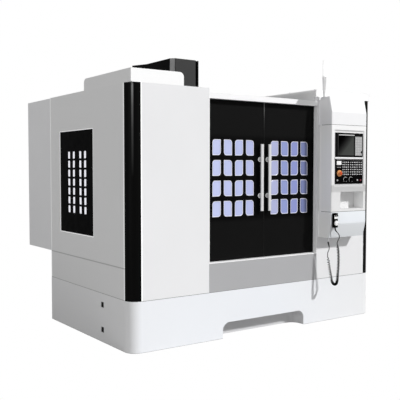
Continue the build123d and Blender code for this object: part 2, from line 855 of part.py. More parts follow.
# Lower enclosure
def make_base_skirt():
    skirt = rounded_shell(0, floor_gap, base_height) - rounded_shell(sheet, floor_gap - 1, base_height - sheet)
    skirt -= block(-half + base_flange, half - base_flange, base_flange, base_depth + 1, floor_gap, base_height + 1)
    cutout = block(cutout_left, cutout_right, -1, sheet + 1, floor_gap - 1, cutout_height)
    cutout = fillet(edges_along(cutout, Axis.Y, [(cutout_left, None, cutout_height),
                                                 (cutout_right, None, cutout_height)]), cutout_radius)
    skirt -= cutout
    for z in side_slot_z:
        slot = block(-half - 1, half + 1, side_slot_y, side_slot_y + side_slot_width, z, z + side_slot_height)
        skirt -= slot
    return skirt


def kick_block(outset):
    """The space behind the cut-out, let out by an outset: its upper ends and rear corners are round."""
    x0, x1, z1 = cutout_left - outset, cutout_right + outset, cutout_height + outset
    space = block(x0, x1, sheet - (0 if outset else 1), kick_depth + outset, floor_gap, z1)
    view = fillet(edges_along(space, Axis.Y, [(x0, None, z1), (x1, None, z1)]), cutout_radius + outset)
    rear = kick_depth + outset
    plan = fillet(edges_along(space, Axis.Z, [(x0, rear, None), (x1, rear, None)]), kick_corner + outset)
    return view & plan


def make_kick_recess():
    """A folded pan with curved ends, open to the front and below."""
    return kick_block(sheet) - kick_block(0)


# Upper enclosure
def make_front_panels():
    left = block(-half + corner_radius, doorway_left, 0, sheet, base_height, body_height)
    left += block(doorway_left - sheet, doorway_left, 0, frame_depth, base_height, body_height)
    right = block(doorway_right, half - corner_radius, 0, sheet, base_height, body_height)
    right += block(doorway_right, doorway_right + sheet, 0, frame_depth, base_height, body_height)
    return [left, right]


def make_corner_strips():
    ring = rounded_shell(0, base_height, body_height) - rounded_shell(sheet, base_height - 1, body_height + 1)
    left = ring & block(-half, -half + corner_radius, 0, strip_depth, base_height, body_height)
    right = ring & block(half - corner_radius, half, 0, strip_depth, base_height, body_height)
    return [left, right]


def make_side_panels():
    upper = block(-half, -half + sheet, strip_depth, base_depth - seam, waist_height, body_height)
    upper -= block(-half - 1, -half + sheet + 1, window_front, window_rear, window_bottom, window_top)
    upper += block(-half, -half + 40, strip_depth, base_depth - seam, body_height - sheet, body_height)
    lower = block(-half, -half + sheet, strip_depth, base_depth - seam, base_height, waist_height - seam)
    lower += block(-half + sheet, -half + 2 * sheet, strip_depth, base_depth - seam, waist_height - 40,
                   waist_height + 20)
    return [upper, lower, mirrored(upper), mirrored(lower)]


def make_side_window_frames():
    plate = block(-half + sheet, -half + 2 * sheet, window_front - window_lap, window_rear + window_lap,
                  window_bottom - window_lap, window_top + window_lap)
    cells = []
    for i, y in enumerate(slot_columns_y):
        cell = Plane.YZ * leaf(slot_width, slot_height, slot_radius, -1 if i % 2 else 1)
        cutter = extrude(cell, amount=sheet + 2, dir=(1, 0, 0))
        for row in range(slot_rows):
            cells.append(Pos(-half + sheet - 1, y, slot_bottom_z + row * slot_pitch_z) * cutter)
    plate -= cells
    return [plate, mirrored(plate)]


def make_side_window_panes():
    x0 = -half + 2 * sheet
    y0 = slot_columns_y[0] - slot_width / 2 - pane_margin
    y1 = slot_columns_y[-1] + slot_width / 2 + pane_margin
    z0 = slot_bottom_z - slot_height / 2 - pane_margin
    z1 = slot_bottom_z + (slot_rows - 1) * slot_pitch_z + slot_height / 2 + pane_margin
    pane = block(x0, x0 + pane_thickness, y0, y1, z0, z1)
    return [pane, mirrored(pane)]


def top_box(x0, x1, y0, y1, height, round_right):
    """A raised box with its rear top edge and one side top edge rounded."""
    z1 = body_height + roof_sheet + height
    box = block(x0, x1, y0, y1, body_height, z1)
    side_x = x1 if round_right else x0
    box = fillet(edges_along(box, Axis.Y, [(side_x, None, z1)]) + edges_along(box, Axis.X, [(None, y1, z1)]),
                 top_box_radius)
    return box


def roof_flange(x0):
    """The folded edge of a roof sheet, along the open middle of the roof."""
    return block(x0, x0 + roof_sheet, frame_depth + seam, base_depth - seam, body_height - roof_flange_drop, body_height)


def make_top_covers():
    left = top_box(-half + left_box_inset, left_box_right, 0, top_box_depth, left_box_height, True)
    left -= top_box(-half + left_box_inset + roof_sheet, left_box_right - roof_sheet, roof_sheet,
                    top_box_depth - roof_sheet, left_box_height - roof_sheet, True)
    roof = rounded_shell(0, body_height, body_height + roof_sheet)
    left += roof & block(-half, left_box_right, 0, base_depth - seam, body_height, body_height + roof_sheet)
    left += roof_flange(left_box_right - roof_sheet)
    right = top_box(right_box_left, half, right_box_front, top_box_depth, right_box_height, False)
    right -= top_box(right_box_left + roof_sheet, half - roof_sheet, right_box_front + roof_sheet,
                     top_box_depth - roof_sheet, right_box_height - roof_sheet, False)
    right += roof & block(right_box_left, half, 0, base_depth - seam, body_height, body_height + roof_sheet)
    right += roof_flange(right_box_left)
    return [left, right]


def cover_block(inset):
    """The column cover's outer form, drawn in by an inset; its front corners are cut off."""
    front, rear, w = cover_front + inset, cover_rear - inset, cover_half_width - inset
    profile = [(front, column_top - inset), (front, cover_top - inset), (cover_knee, cover_top - inset),
               (rear, cover_top_rear - inset), (rear, body_height - inset),
               (base_depth + recess_depth - 2, body_height - inset),
               (base_depth + recess_depth - 2, column_top - inset)]
    slope = inset * 0.5
    flat = w + slope - cover_chamfer
    plan = [(-w, rear), (-w, front + cover_chamfer - slope), (-flat, front), (flat, front),
            (w, front + cover_chamfer - slope), (w, rear)]
    return side_prism(profile, -w, w) & plan_prism(plan, 0, 2 * body_height)


def make_column_top_cover():
    return cover_block(0) - cover_block(sheet)


def make_door_frame():
    """Header, sill and thin jambs, with the upper and lower door tracks behind them."""
    frame = block(doorway_left, doorway_right, 0, frame_depth, sill_bottom, header_top)
    frame -= block(doorway_left + sheet, doorway_right - sheet, -1, frame_depth + 1, doorway_bottom, doorway_top)
    lower_track, upper_track = doorway_bottom - 10 - track_height, doorway_top + door_lap
    frame += block(doorway_left, doorway_right, frame_depth - sill_flange, frame_depth, lower_track, sill_bottom)
    for z in (lower_track, upper_track + door_gap):
        frame += block(-track_end, track_end, frame_depth, frame_depth + track_depth, z,
                       z + track_height - door_gap)
    return frame


def make_apron_panel():
    apron = block(doorway_left + 1, doorway_right - 1, 0, sheet, base_height, sill_bottom)
    apron_rear = frame_depth - sill_flange - seam
    return apron + block(doorway_left + 1, doorway_right - 1, 0, apron_rear, sill_bottom - sheet, sill_bottom)


# Doors
def cell_centres(first_x):
    return [(first_x + col * cell_pitch_x, cell_top_z - row * cell_pitch_z, -1 if col % 2 else 1)
            for col in range(cell_columns) for row in range(cell_rows)]


def door(x0, x1, first_x):
    """A folded door: a skin with returns all round, pierced by the window cells."""
    z0, z1 = doorway_bottom - 10, doorway_top + door_lap
    y0, y1 = door_plane, door_plane + door_depth
    leaf_door = block(x0, x1, y0, y1, z0, z1)
    leaf_door -= block(x0 + door_skin, x1 - door_skin, y0 + door_skin, y1 + 1, z0 + door_skin, z1 - door_skin)
    cutters = {}
    for lean in (-1, 1):
        cell = Plane.XZ * leaf(cell_width, cell_height, cell_radius, -lean)
        cutters[lean] = extrude(cell, amount=door_skin + 2, dir=(0, 1, 0))
    return leaf_door - [Pos(x, y0 - 1, z) * cutters[lean] for x, z, lean in cell_centres(first_x)]


def door_pane(first_x):
    x0 = first_x - cell_width / 2 - pane_margin
    x1 = first_x + (cell_columns - 1) * cell_pitch_x + cell_width / 2 + pane_margin
    z0 = cell_top_z - (cell_rows - 1) * cell_pitch_z - cell_height / 2 - pane_margin
    z1 = cell_top_z + cell_height / 2 + pane_margin
    y0 = door_plane + door_skin
    return block(x0, x1, y0, y0 + pane_thickness, z0, z1)


def handle(x):
    """A rounded grip bar on two round posts."""
    y1 = door_plane - handle_standoff
    y0 = y1 - handle_thickness
    bar = block(x - handle_width / 2, x + handle_width / 2, y0, y1, handle_bottom, handle_top)
    bar = fillet(bar.edges().filter_by(Axis.Z), 8)
    for z in (handle_bottom + handle_post_inset, handle_top - handle_post_inset):
        bar += along_y(x, y1 - 1, door_plane, z, handle_post_radius)
    return bar


# Rear cabinet
def cabinet_block(inset):
    """The rear cabinet wraps round the back of the column."""
    y0, y1 = base_depth + inset, rear_face - inset
    w = half - inset
    r = recess_half_width + inset
    back = base_depth + recess_depth + inset
    plan = [(-w, y0), (-r, y0), (-r, back), (r, back), (r, y0), (w, y0), (w, y1), (-w, y1)]
    return plan_prism(plan, waist_height + inset, body_height - inset)


def hinge_axis():
    return cabinet_door_left - hinge_offset, rear_face + 1 + cabinet_door_depth / 2


def hinge_heights():
    z0, z1 = cabinet_door_bottom, cabinet_door_bottom + cabinet_door_height
    return [z0 + hinge_inset, z1 - hinge_inset - hinge_barrel_length]


def make_rear_cabinet():
    cabinet = cabinet_block(0) - cabinet_block(sheet)
    lap = cabinet_door_lap
    cabinet -= block(cabinet_door_left + lap, cabinet_door_left + cabinet_door_width - lap, rear_face - sheet - 1,
                     rear_face + 1, cabinet_door_bottom + lap, cabinet_door_bottom + cabinet_door_height - lap)
    for i in range(vent_count):
        z = vent_z - i * vent_pitch
        cabinet -= block(vent_x - vent_width / 2, vent_x + vent_width / 2, rear_face - sheet - 1, rear_face + 1,
                         z, z + vent_height)
    x, y = hinge_axis()
    for z in hinge_heights():
        ear = upright(x, y, z - 30, z - 0.3, hinge_barrel_radius)
        ear += block(x - hinge_barrel_radius, x + hinge_barrel_radius, rear_face, y, z - 30, z - 0.3)
        cabinet += ear + upright(x, y, z - 20, z + hinge_barrel_length - 5, hinge_pin_radius)
    return cabinet


def make_electrical_plate():
    """Mounting plate with a row of drive units and a row of smaller modules."""
    x0 = cabinet_door_left + 40
    x1 = x0 + cabinet_door_width - 80
    y0 = base_depth + sheet
    z0 = cabinet_door_bottom + 80
    plate = block(x0, x1, y0, y0 + sheet, z0, z0 + plate_height)
    face = y0 + sheet
    pitch = (x1 - x0 - 60) / drive_count
    for i in range(drive_count):
        x = x0 + 40 + i * pitch
        z = z0 + drive_rise
        plate += block(x, x + drive_width, face, face + drive_depth, z, z + drive_height)
        z = z0 + module_rise
        plate += block(x, x + drive_width + 20, face, face + module_depth, z, z + module_height)
    z = z0 + terminal_rise
    plate += block(x0 + 40, x1 - 40, face, face + terminal_depth, z, z + terminal_height)
    return plate


def make_cabinet_door():
    x0, x1 = cabinet_door_left, cabinet_door_left + cabinet_door_width
    y0, y1 = rear_face + 1, rear_face + 1 + cabinet_door_depth
    z0, z1 = cabinet_door_bottom, cabinet_door_bottom + cabinet_door_height
    panel = block(x0, x1, y0, y1, z0, z1)
    panel -= block(x0 + sheet, x1 - sheet, y0 - 1, y1 - sheet, z0 + sheet, z1 - sheet)
    x, y = hinge_axis()
    for z in hinge_heights():
        barrel = upright(x, y, z, z + hinge_barrel_length, hinge_barrel_radius)
        barrel += block(x, x0 + 1, y - 4, y + 4, z, z + hinge_barrel_length)
        barrel -= upright(x, y, z - 1, z + hinge_barrel_length + 1, hinge_pin_radius + running_clearance)
        panel += barrel
    latch_x, latch_z = latch_centre()
    panel -= along_y(latch_x, y0, y1 + 1, latch_z, latch_shaft_radius + running_clearance)
    return panel


def latch_centre():
    return cabinet_door_left + cabinet_door_width - latch_inset, cabinet_door_bottom + cabinet_door_height / 2


def make_cabinet_latch():
    """A lever outside the door and a cam behind the cabinet's skin, drawn unlocked: lever level, cam down."""
    x, z = latch_centre()
    y1 = rear_face + 1 + cabinet_door_depth
    latch = along_y(x, y1 + 0.3, y1 + 18, z, latch_boss_radius)
    lever = block(x - latch_lever, x, y1 + 6, y1 + 18, z - 12, z + 12)
    ends = [(x - latch_lever, None, z - 12), (x - latch_lever, None, z + 12)]
    latch += fillet(edges_along(lever, Axis.Y, ends), 11)
    cam_rear = rear_face - sheet - 4
    latch += along_y(x, cam_rear - 4, y1 + 1, z, latch_shaft_radius)
    return latch + block(x - 11, x + 11, cam_rear - 6, cam_rear, z - latch_cam, z + 11)


# Operator pillar
def pillar_prism(points, z_edges):
    """A pillar section along x with its two front vertical edges eased."""
    solid = side_prism(points, pillar_left, pillar_right)
    corners = [(x, y, z) for x in (pillar_left, pillar_right) for y, z in z_edges]
    chosen = [e for e in solid.edges() for c in corners
              if max(abs(e.center().X - c[0]), abs(e.center().Y - c[1]), abs(e.center().Z - c[2])) < 1]
    return fillet(chosen, pillar_edge)


def make_pillar_housing():
    z0, z1 = lower_seam_z + 1, hood_seam_z - 1
    f, neck = pillar_front, -pillar_neck
    body = pillar_prism([(f, z0), (f, z1), (neck, z1), (neck, z0)], [(f, (z0 + z1) / 2)])
    t = pillar_wall
    body -= block(pillar_left + t, pillar_right - t, f + bezel_depth + t, neck - t, z0 + t, z1 - t)
    inner_left, inner_right = pillar_left + pillar_neck_inset, pillar_right - pillar_neck_inset
    body += block(inner_left, inner_right, neck - 1, 0, z0, z1)
    rear = f + niche_depth
    body += block(niche_left - t, niche_right + t, f + 1, rear + t, niche_bottom - t, niche_top + t)
    body -= block(niche_left, niche_right, f - 1, rear, niche_bottom, niche_top)
    lip = bezel_slope
    outer = [(bezel_left, bezel_bottom), (bezel_right, bezel_bottom), (bezel_right, bezel_top), (bezel_left, bezel_top)]
    inner = [(bezel_left + lip, bezel_bottom + lip), (bezel_right - lip, bezel_bottom + lip),
             (bezel_right - lip, bezel_top - lip), (bezel_left + lip, bezel_top - lip)]
    recess = loft([make_face(Polyline(*[(x, f, z) for x, z in outer], close=True)),
                   make_face(Polyline(*[(x, f + bezel_depth, z) for x, z in inner], close=True))])
    body -= recess
    for x, z, radius in control_holes():
        body -= along_y(x, f, f + bezel_depth + 2 * t, z, radius + 1)
    return body


def control_holes():
    """Centre and radius of each hole behind the key panel."""
    return [(stop_x, stop_z, stop_stem_radius)] + [(x, knob_z, knob_shaft_radius) for x in knob_x]


def make_pillar_hood():
    z0, z1, f = hood_seam_z, pillar_top, pillar_front
    points = [(f, z0), (f, hood_slant_z), (f + hood_slant, z1), (-33, z1), (0, z1 - hood_chamfer), (0, z0)]
    edges = [(f, (z0 + hood_slant_z) / 2), (f + hood_slant / 2, (hood_slant_z + z1) / 2)]
    return pillar_prism(points, edges)


def make_pillar_lower_cover():
    z0, z1, f = pillar_bottom, lower_seam_z, pillar_front
    points = [(f, z1), (f, lower_slant_z), (f + lower_slant, z0), (0, z0), (0, z1)]
    edges = [(f, (z1 + lower_slant_z) / 2), (f + lower_slant / 2, (z0 + lower_slant_z) / 2)]
    return pillar_prism(points, edges)


def make_screen_unit():
    floor = pillar_front + bezel_depth
    front = floor - screen_thickness
    unit = block(screen_left, screen_left + screen_width, front, floor, screen_bottom, screen_bottom + screen_height)
    unit = chamfer(unit.faces().sort_by(Axis.Y)[0].edges(), 2)
    x0, z0 = screen_left + display_inset_left, screen_bottom + display_inset_bottom
    unit -= block(x0, x0 + display_width, front - 1, front + display_depth, z0, z0 + display_height)
    x0, z0 = screen_left + softkeys_left, screen_bottom + softkeys_bottom
    return unit + block(x0, x0 + softkeys_width, front - softkeys_rise, front + 1, z0, z0 + softkeys_height)


def key_places():
    """Lower left corner of every key on the key panel."""
    places = []
    for first, columns in ((key_group_left, left_key_columns), (key_group_right, right_key_columns)):
        for col in range(columns):
            for row in range(key_rows):
                places.append((keys_left + first + col * key_pitch_x, keys_bottom + key_grid_bottom + row * key_pitch_z))
    return places


def make_key_panel():
    floor = pillar_front + bezel_depth
    front = floor - keys_thickness
    panel = block(keys_left, keys_left + keys_width, front, floor, keys_bottom, keys_bottom + keys_height)
    panel = chamfer(panel.faces().sort_by(Axis.Y)[0].edges(), 1.5)
    panel += [block(x, x + key_size, front - key_rise, front + 0.5, z, z + key_size) for x, z in key_places()]
    panel += along_y(stop_x, front - stop_collar_height, front + 1, stop_z, stop_collar_radius)
    panel += [along_y(x, front - button_height, front + 1, button_z, button_radius) for x in button_x]
    for x, z, radius in control_holes():
        panel -= along_y(x, front - stop_collar_height - 1, floor + 1, z, radius + running_clearance)
    return panel


def make_emergency_stop():
    front = pillar_front + bezel_depth - keys_thickness - stop_collar_height
    head_rear = front - stop_travel - 0.5
    head = along_y(stop_x, head_rear - stop_head_height, head_rear, stop_z, stop_head_radius)
    head = chamfer(head.edges().sort_by(Axis.Y)[0], 5)
    return head + along_y(stop_x, head_rear - 1, pillar_front + bezel_depth + 2, stop_z, stop_stem_radius)


def control_knob(x):
    """A turned knob with a pointer ridge."""
    front = pillar_front + bezel_depth - keys_thickness
    knob = along_y(x, front - knob_height, front - 0.3, knob_z, knob_radius)
    knob = chamfer(knob.edges().sort_by(Axis.Y)[0], 2.5)
    knob += block(x - 4, x + 4, front - knob_height - 5, front - knob_height + 1, knob_z - 15, knob_z + 15)
    return knob + along_y(x, front - 1, pillar_front + bezel_depth + 2, knob_z, knob_shaft_radius)


# Hand-wheel pendant
def make_pendant_holder():
    z0 = lower_slant_z + 15
    x0 = pendant_x + holder_shift - holder_width / 2
    return block(x0, x0 + holder_width, pillar_front - holder_thickness, pillar_front, z0, z0 + holder_height)


def pendant_front():
    return pillar_front - holder_thickness - pendant_thickness


def make_pendant():
    x0, x1 = pendant_x - pendant_width / 2, pendant_x + pendant_width / 2
    y0, z0, z1 = pendant_front(), pendant_bottom, pendant_bottom + pendant_height
    body = block(x0, x1, y0, y0 + pendant_thickness, z0, z1)
    body = fillet(body.edges().filter_by(Axis.Y), pendant_edge)
    body = chamfer(body.faces().sort_by(Axis.Y)[0].edges(), 3)
    for side in (-1, 1):
        body += along_y(pendant_x + side * selector_spread, y0 - selector_height, y0 + 1, z1 - selector_inset,
                        selector_radius)
    body -= along_y(pendant_x, y0 - 1, y0 + 20, z0 + wheel_inset, wheel_shaft_radius + running_clearance)
    return body


def make_pendant_wheel():
    y0, z = pendant_front(), pendant_bottom + wheel_inset
    wheel = along_y(pendant_x, y0 - wheel_height, y0 - 0.3, z, wheel_radius)
    wheel = chamfer(wheel.edges().sort_by(Axis.Y)[0], 2.5)
    wheel += along_y(pendant_x + 17, y0 - wheel_height - 10, y0 - wheel_height + 1, z, 4)
    return wheel + along_y(pendant_x, y0 - 1, y0 + 18, z, wheel_shaft_radius)


def make_cord_gland():
    top, bottom = pillar_bottom, pillar_bottom - gland_length
    nut = Pos(gland_x, gland_y, top - 14) * extrude(RegularPolygon(gland_radius * 1.15, 6), amount=14)
    body = Pos(gland_x, gland_y, (bottom + top - 14) / 2) * Cone(gland_radius * 0.55, gland_radius, top - 14 - bottom)
    return nut + body


# Curly cord
def tube(route, radius):
    """A tube along straight runs joined by tangent arcs; each arc is as large as its two runs allow."""
    corner = Vector(pillar_left, 0, pillar_bottom)
    points = [corner + Vector(*p) for p in route]
    radii = []
    for before, here, after in zip(points, points[1:], points[2:]):
        run_in, run_out = here - before, after - here
        turn = math.radians(run_in.get_angle(run_out))
        radii.append(0.45 * min(run_in.length, run_out.length) / math.tan(turn / 2))
    path = FilletPolyline(*points, radius=radii)
    start = Plane(origin=points[0], z_dir=points[1] - points[0])
    solid = sweep(start * Circle(radius), path=path)
    print("cord radii", [round(r) for r in radii], "length", round(path.length, 1),
          "volume ratio", round(solid.volume / (math.pi * radius ** 2 * path.length), 4))
    return solid


# Signal tower
def make_tower_pole():
    """A stem that widens to the lens which it carries."""
    length = tower_lens_bottom - pillar_top
    return Pos(tower_x, tower_y, pillar_top + length / 2) * Cone(tower_pole_radius, tower_lens_radius, length)


def make_tower_lens():
    z0, z1 = tower_lens_bottom, tower_lens_bottom + tower_lens_height
    lens = upright(tower_x, tower_y, z0, z1, tower_lens_radius)
    cap = upright(tower_x, tower_y, z1, z1 + tower_cap_height, tower_lens_radius - 2)
    return lens + chamfer(cap.edges().sort_by(Axis.Z)[-1], 7)


def build_nodes():
    return {
        "base_casting": make_base_casting(),
        "levelling_feet": make_levelling_feet(),
        "column": make_column(),
        "guide_rails": make_guide_rails(),
        "axis_motors": make_axis_motors(),
        "x_ballscrew": make_x_ballscrew(),
        "y_ballscrew": make_y_ballscrew(),
        "z_ballscrew": make_z_ballscrew(),
        "saddle": make_saddle(),
        "saddle_rails": make_saddle_rails(),
        "x_axis_motor": make_x_axis_motor(),
        "table": make_table(),
        "spindle_head": make_spindle_head(),
        "spindle": make_spindle(),
        "spindle_motor": make_spindle_motor(),
        "magazine_bracket": make_magazine_bracket(),
        "magazine_carriage": make_magazine_carriage(),
        "tool_disc": make_tool_disc(),
        "tool_grippers": make_tool_grippers(),
        "front_bellows": make_front_bellows(),
        "rear_bellows": make_rear_bellows(),
        "z_bellows": make_z_bellows(),
        "chip_pan": make_chip_pan(),
        "base_skirt": make_base_skirt(),
        "kick_recess": make_kick_recess(),
        "front_panels": make_front_panels(),
        "corner_strips": make_corner_strips(),
        "side_panels": make_side_panels(),
        "side_window_frames": make_side_window_frames(),
        "side_window_panes": make_side_window_panes(),
        "top_covers": make_top_covers(),
        "column_top_cover": make_column_top_cover(),
        "door_frame": make_door_frame(),
        "apron_panel": make_apron_panel(),
        "left_door": door(doorway_left - door_lap, door_seam_x - seam / 2, left_cell_x),
        "left_door_glass": door_pane(left_cell_x),
        "left_handle": handle(door_seam_x - handle_offset),
        "right_door": door(door_seam_x + seam / 2, doorway_right + door_lap, right_cell_x),
        "right_door_glass": door_pane(right_cell_x),
        "right_handle": handle(door_seam_x + handle_offset),
        "rear_cabinet": make_rear_cabinet(),
        "electrical_plate": make_electrical_plate(),
        "cabinet_door": make_cabinet_door(),
        "cabinet_latch": make_cabinet_latch(),
        "pillar_housing": make_pillar_housing(),
        "pillar_hood": make_pillar_hood(),
        "pillar_lower_cover": make_pillar_lower_cover(),
        "screen_unit": make_screen_unit(),
        "key_panel": make_key_panel(),
        "emergency_stop": make_emergency_stop(),
        "feed_knob": control_knob(knob_x[0]),
        "spindle_knob": control_knob(knob_x[1]),
        "pendant_holder": make_pendant_holder(),
        "pendant": make_pendant(),
        "pendant_wheel": make_pendant_wheel(),
        "cord_gland": make_cord_gland(),
        "cord_coil": tube(curl_route, curl_radius),
        "cord_leads": [tube(lead_top_route, cord_radius), tube(lead_bottom_route, cord_radius)],
        "tower_pole": make_tower_pole(),
        "tower_lens": make_tower_lens(),
    }


def solids(shape):
    """One solid, or a list of separate solids, as one shape for export."""
    if isinstance(shape, list):
        return Compound(children=[s for item in shape for s in item.solids()])
    found = shape.solids()
    return found[0] if len(found) == 1 else Compound(children=list(found))


nodes = {name: solids(shape) for name, shape in build_nodes().items()}
boxes = [shape.bounding_box() for name, shape in nodes.items() if not name.startswith("cord_")]
front_most = min(box.min.Y for box in boxes)
rear_most = max(box.max.Y for box in boxes)
to_origin = Pos(0, -(front_most + rear_most) / 2, 0)
print("y of the origin from the front panels:", round((front_most + rear_most) / 2, 4))
os.makedirs("parts", exist_ok=True)
for name, shape in nodes.items():
    export_step(to_origin * shape, os.path.join("parts", name + ".step"))
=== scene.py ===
"""Looks of the vertical machining centre: camera, light, materials and fine detail round the frame."""

import json
import math

import bmesh
import bpy
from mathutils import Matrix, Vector


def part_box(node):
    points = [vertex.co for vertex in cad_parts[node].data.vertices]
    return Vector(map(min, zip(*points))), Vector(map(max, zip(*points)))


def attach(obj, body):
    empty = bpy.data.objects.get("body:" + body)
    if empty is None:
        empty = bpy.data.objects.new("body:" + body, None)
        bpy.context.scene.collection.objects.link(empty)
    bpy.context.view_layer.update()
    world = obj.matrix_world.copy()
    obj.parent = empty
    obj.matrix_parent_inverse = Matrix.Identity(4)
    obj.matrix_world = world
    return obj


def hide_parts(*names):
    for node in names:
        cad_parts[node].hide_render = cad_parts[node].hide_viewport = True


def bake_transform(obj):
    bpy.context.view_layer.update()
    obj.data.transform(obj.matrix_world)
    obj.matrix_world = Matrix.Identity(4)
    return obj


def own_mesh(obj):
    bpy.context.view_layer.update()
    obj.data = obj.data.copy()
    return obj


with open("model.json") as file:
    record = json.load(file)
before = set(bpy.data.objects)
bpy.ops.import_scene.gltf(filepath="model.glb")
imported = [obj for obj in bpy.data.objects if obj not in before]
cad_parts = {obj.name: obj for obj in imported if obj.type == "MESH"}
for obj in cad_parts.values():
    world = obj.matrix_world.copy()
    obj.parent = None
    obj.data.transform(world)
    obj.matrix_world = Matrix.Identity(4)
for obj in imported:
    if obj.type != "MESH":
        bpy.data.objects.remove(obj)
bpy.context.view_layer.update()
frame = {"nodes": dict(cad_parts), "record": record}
nodes = frame["nodes"]

# Places: the CAD source lays the machine out in millimetres, with y = 0 on the front panels
FRONT_Y = round(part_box("front_panels")[0].y * 1000, 1)
SIDES = (("left", -1), ("right", 1))


def at(x, y, z):
    """A point of the CAD layout, in metres in the row frame."""
    return Vector((x / 1000, (y + FRONT_Y) / 1000, z / 1000))


def spans(name):
    """A node's lowest and highest x, y and z in the CAD layout, as three pairs."""
    low, high = [corner * 1000 - Vector((0, FRONT_Y, 0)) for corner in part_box(name)]
    return [(round(a, 1), round(b, 1)) for a, b in zip(low, high)]


def low_corner(name):
    """The left, front, lower corner of a node's box."""
    return tuple(low for low, _ in spans(name))


def middle(name):
    """The middle of a node's box."""
    return tuple((low + high) / 2 for low, high in spans(name))


def new_object(name, data):
    """Puts a mesh, curve, camera or light into the scene."""
    obj = bpy.data.objects.new(name, data)
    bpy.context.scene.collection.objects.link(obj)
    return obj


HALF_WIDTH = spans("base_skirt")[0][1]

# Camera, fitted to the edges of the enclosure in the photograph
CAMERA_PLACE = (-4219.5, -4954.8, 1577.5)
CAMERA_TILT, CAMERA_HEADING = 87.326, -34.81
camera_data = bpy.data.cameras.new("camera")
camera_data.lens = 60.74
camera_data.sensor_width = 36
camera_data.clip_end = 100
camera = new_object("camera", camera_data)
camera.location = at(*CAMERA_PLACE)
camera.rotation_euler = (math.radians(CAMERA_TILT), 0, math.radians(CAMERA_HEADING))
bpy.context.scene.camera = camera
bpy.context.scene.view_settings.view_transform = "Standard"

# Material building blocks
GRAIN_DEPTH = 0.0004


def material(name):
    """A new material, with its node tree and its shader."""
    mat = bpy.data.materials.new(name)
    mat.use_nodes = True
    return mat, mat.node_tree, mat.node_tree.nodes["Principled BSDF"]


def feed(tree, node, inputs):
    """Gives a node's inputs their values; a value may be another node's output."""
    for name, value in inputs.items():
        if isinstance(value, bpy.types.NodeSocket):
            tree.links.new(value, node.inputs[name])
        else:
            node.inputs[name].default_value = value


def add_node(tree, kind, inputs=None, **settings):
    """A new shader node of this kind, with its settings and inputs."""
    node = tree.nodes.new("ShaderNode" + kind)
    for name, value in settings.items():
        setattr(node, name, value)
    feed(tree, node, inputs or {})
    return node


def rgba(colour):
    """Four channels, from a grey value or from red, green and blue."""
    return (*colour, 1) if isinstance(colour, tuple) else (colour, colour, colour, 1)


def object_place(tree):
    return add_node(tree, "TexCoord").outputs["Object"]


def component(tree, vector, axis):
    return add_node(tree, "SeparateXYZ", {"Vector": vector}).outputs[axis]


def maths(tree, operation, a, b):
    return add_node(tree, "Math", {0: a, 1: b}, operation=operation).outputs[0]


def noise(tree, vector, scale, detail=3.0):
    return add_node(tree, "TexNoise", {"Vector": vector, "Scale": scale, "Detail": detail}).outputs["Fac"]


def spread(tree, value, low, high):
    """Maps a noise value onto low to high."""
    limits = {"From Min": 0.3, "From Max": 0.7, "To Min": low, "To Max": high}
    return add_node(tree, "MapRange", {"Value": value, **limits}).outputs["Result"]


def mix(tree, factor, a, b, blend="MIX"):
    """Mixes two colours; each is a value of four channels or a node's output."""
    node = add_node(tree, "Mix", {}, data_type="RGBA", blend_type=blend)
    feed(tree, node, {"Factor": factor, "A": a, "B": b})
    return node.outputs["Result"]


def ramp(tree, value, stops):
    """Maps a value onto colours; stops are (value, colour or grey) in rising order."""
    low, high = stops[0][0], stops[-1][0]
    share = add_node(tree, "MapRange", {"Value": value, "From Min": low, "From Max": high}).outputs["Result"]
    node = add_node(tree, "ValToRGB", {"Fac": share})
    elements = node.color_ramp.elements
    elements[0].color = rgba(stops[0][1])
    elements[1].color = rgba(stops[-1][1])
    for place, colour in stops[1:-1]:
        elements.new((place - low) / (high - low)).color = rgba(colour)
    return node.outputs["Color"]


def tone_along(tree, axis, stops):
    """A tone that runs along one axis of the object; stops are (metres, colour or grey)."""
    return ramp(tree, component(tree, object_place(tree), axis), stops)


def bump(tree, shader, height, strength):
    node = add_node(tree, "Bump", {"Height": height, "Strength": strength, "Distance": GRAIN_DEPTH})
    feed(tree, shader, {"Normal": node.outputs["Normal"]})


def glow(mat, colour, strength):
    """Lets a material give off a little light of its own."""
    shader = mat.node_tree.nodes["Principled BSDF"]
    feed(mat.node_tree, shader, {"Emission Color": colour, "Emission Strength": strength})


def surface(name, colour, metallic=0.0, rough=(0.4, 0.5), tone=0.04, scale=6.0, grain=0.0, grain_scale=900.0,
            stretch=(1, 1, 1), specular=0.5):
    """Paint, plastic, rubber or metal with a little uneven tone, roughness and grain."""
    mat, tree, shader = material(name)
    vector = add_node(tree, "Mapping", {"Vector": object_place(tree), "Scale": stretch}).outputs["Vector"]
    cloud = spread(tree, noise(tree, vector, scale), 0, 1)
    channels = rgba(colour)[:3]
    darker = tuple(c * (1 - tone) for c in channels)
    lighter = tuple(min(1.0, c * (1 + tone)) for c in channels)
    feed(tree, shader, {
        "Base Color": mix(tree, cloud, rgba(darker), rgba(lighter)),
        "Roughness": spread(tree, noise(tree, vector, scale * 5), *rough),
        "Metallic": metallic,
        "Specular IOR Level": specular,
    })
    if grain:
        bump(tree, shader, noise(tree, vector, grain_scale, 2), grain)
    return mat


def along_paint(name, axis, stops, rough=0.4, specular=0.5, grain=0.0):
    """Paint or plastic whose tone runs along one axis of the object."""
    mat, tree, shader = material(name)
    tone = tone_along(tree, axis, stops)
    feed(tree, shader, {"Base Color": tone, "Roughness": rough, "Specular IOR Level": specular})
    if grain:
        bump(tree, shader, noise(tree, object_place(tree), 700.0, 2), grain)
    return mat


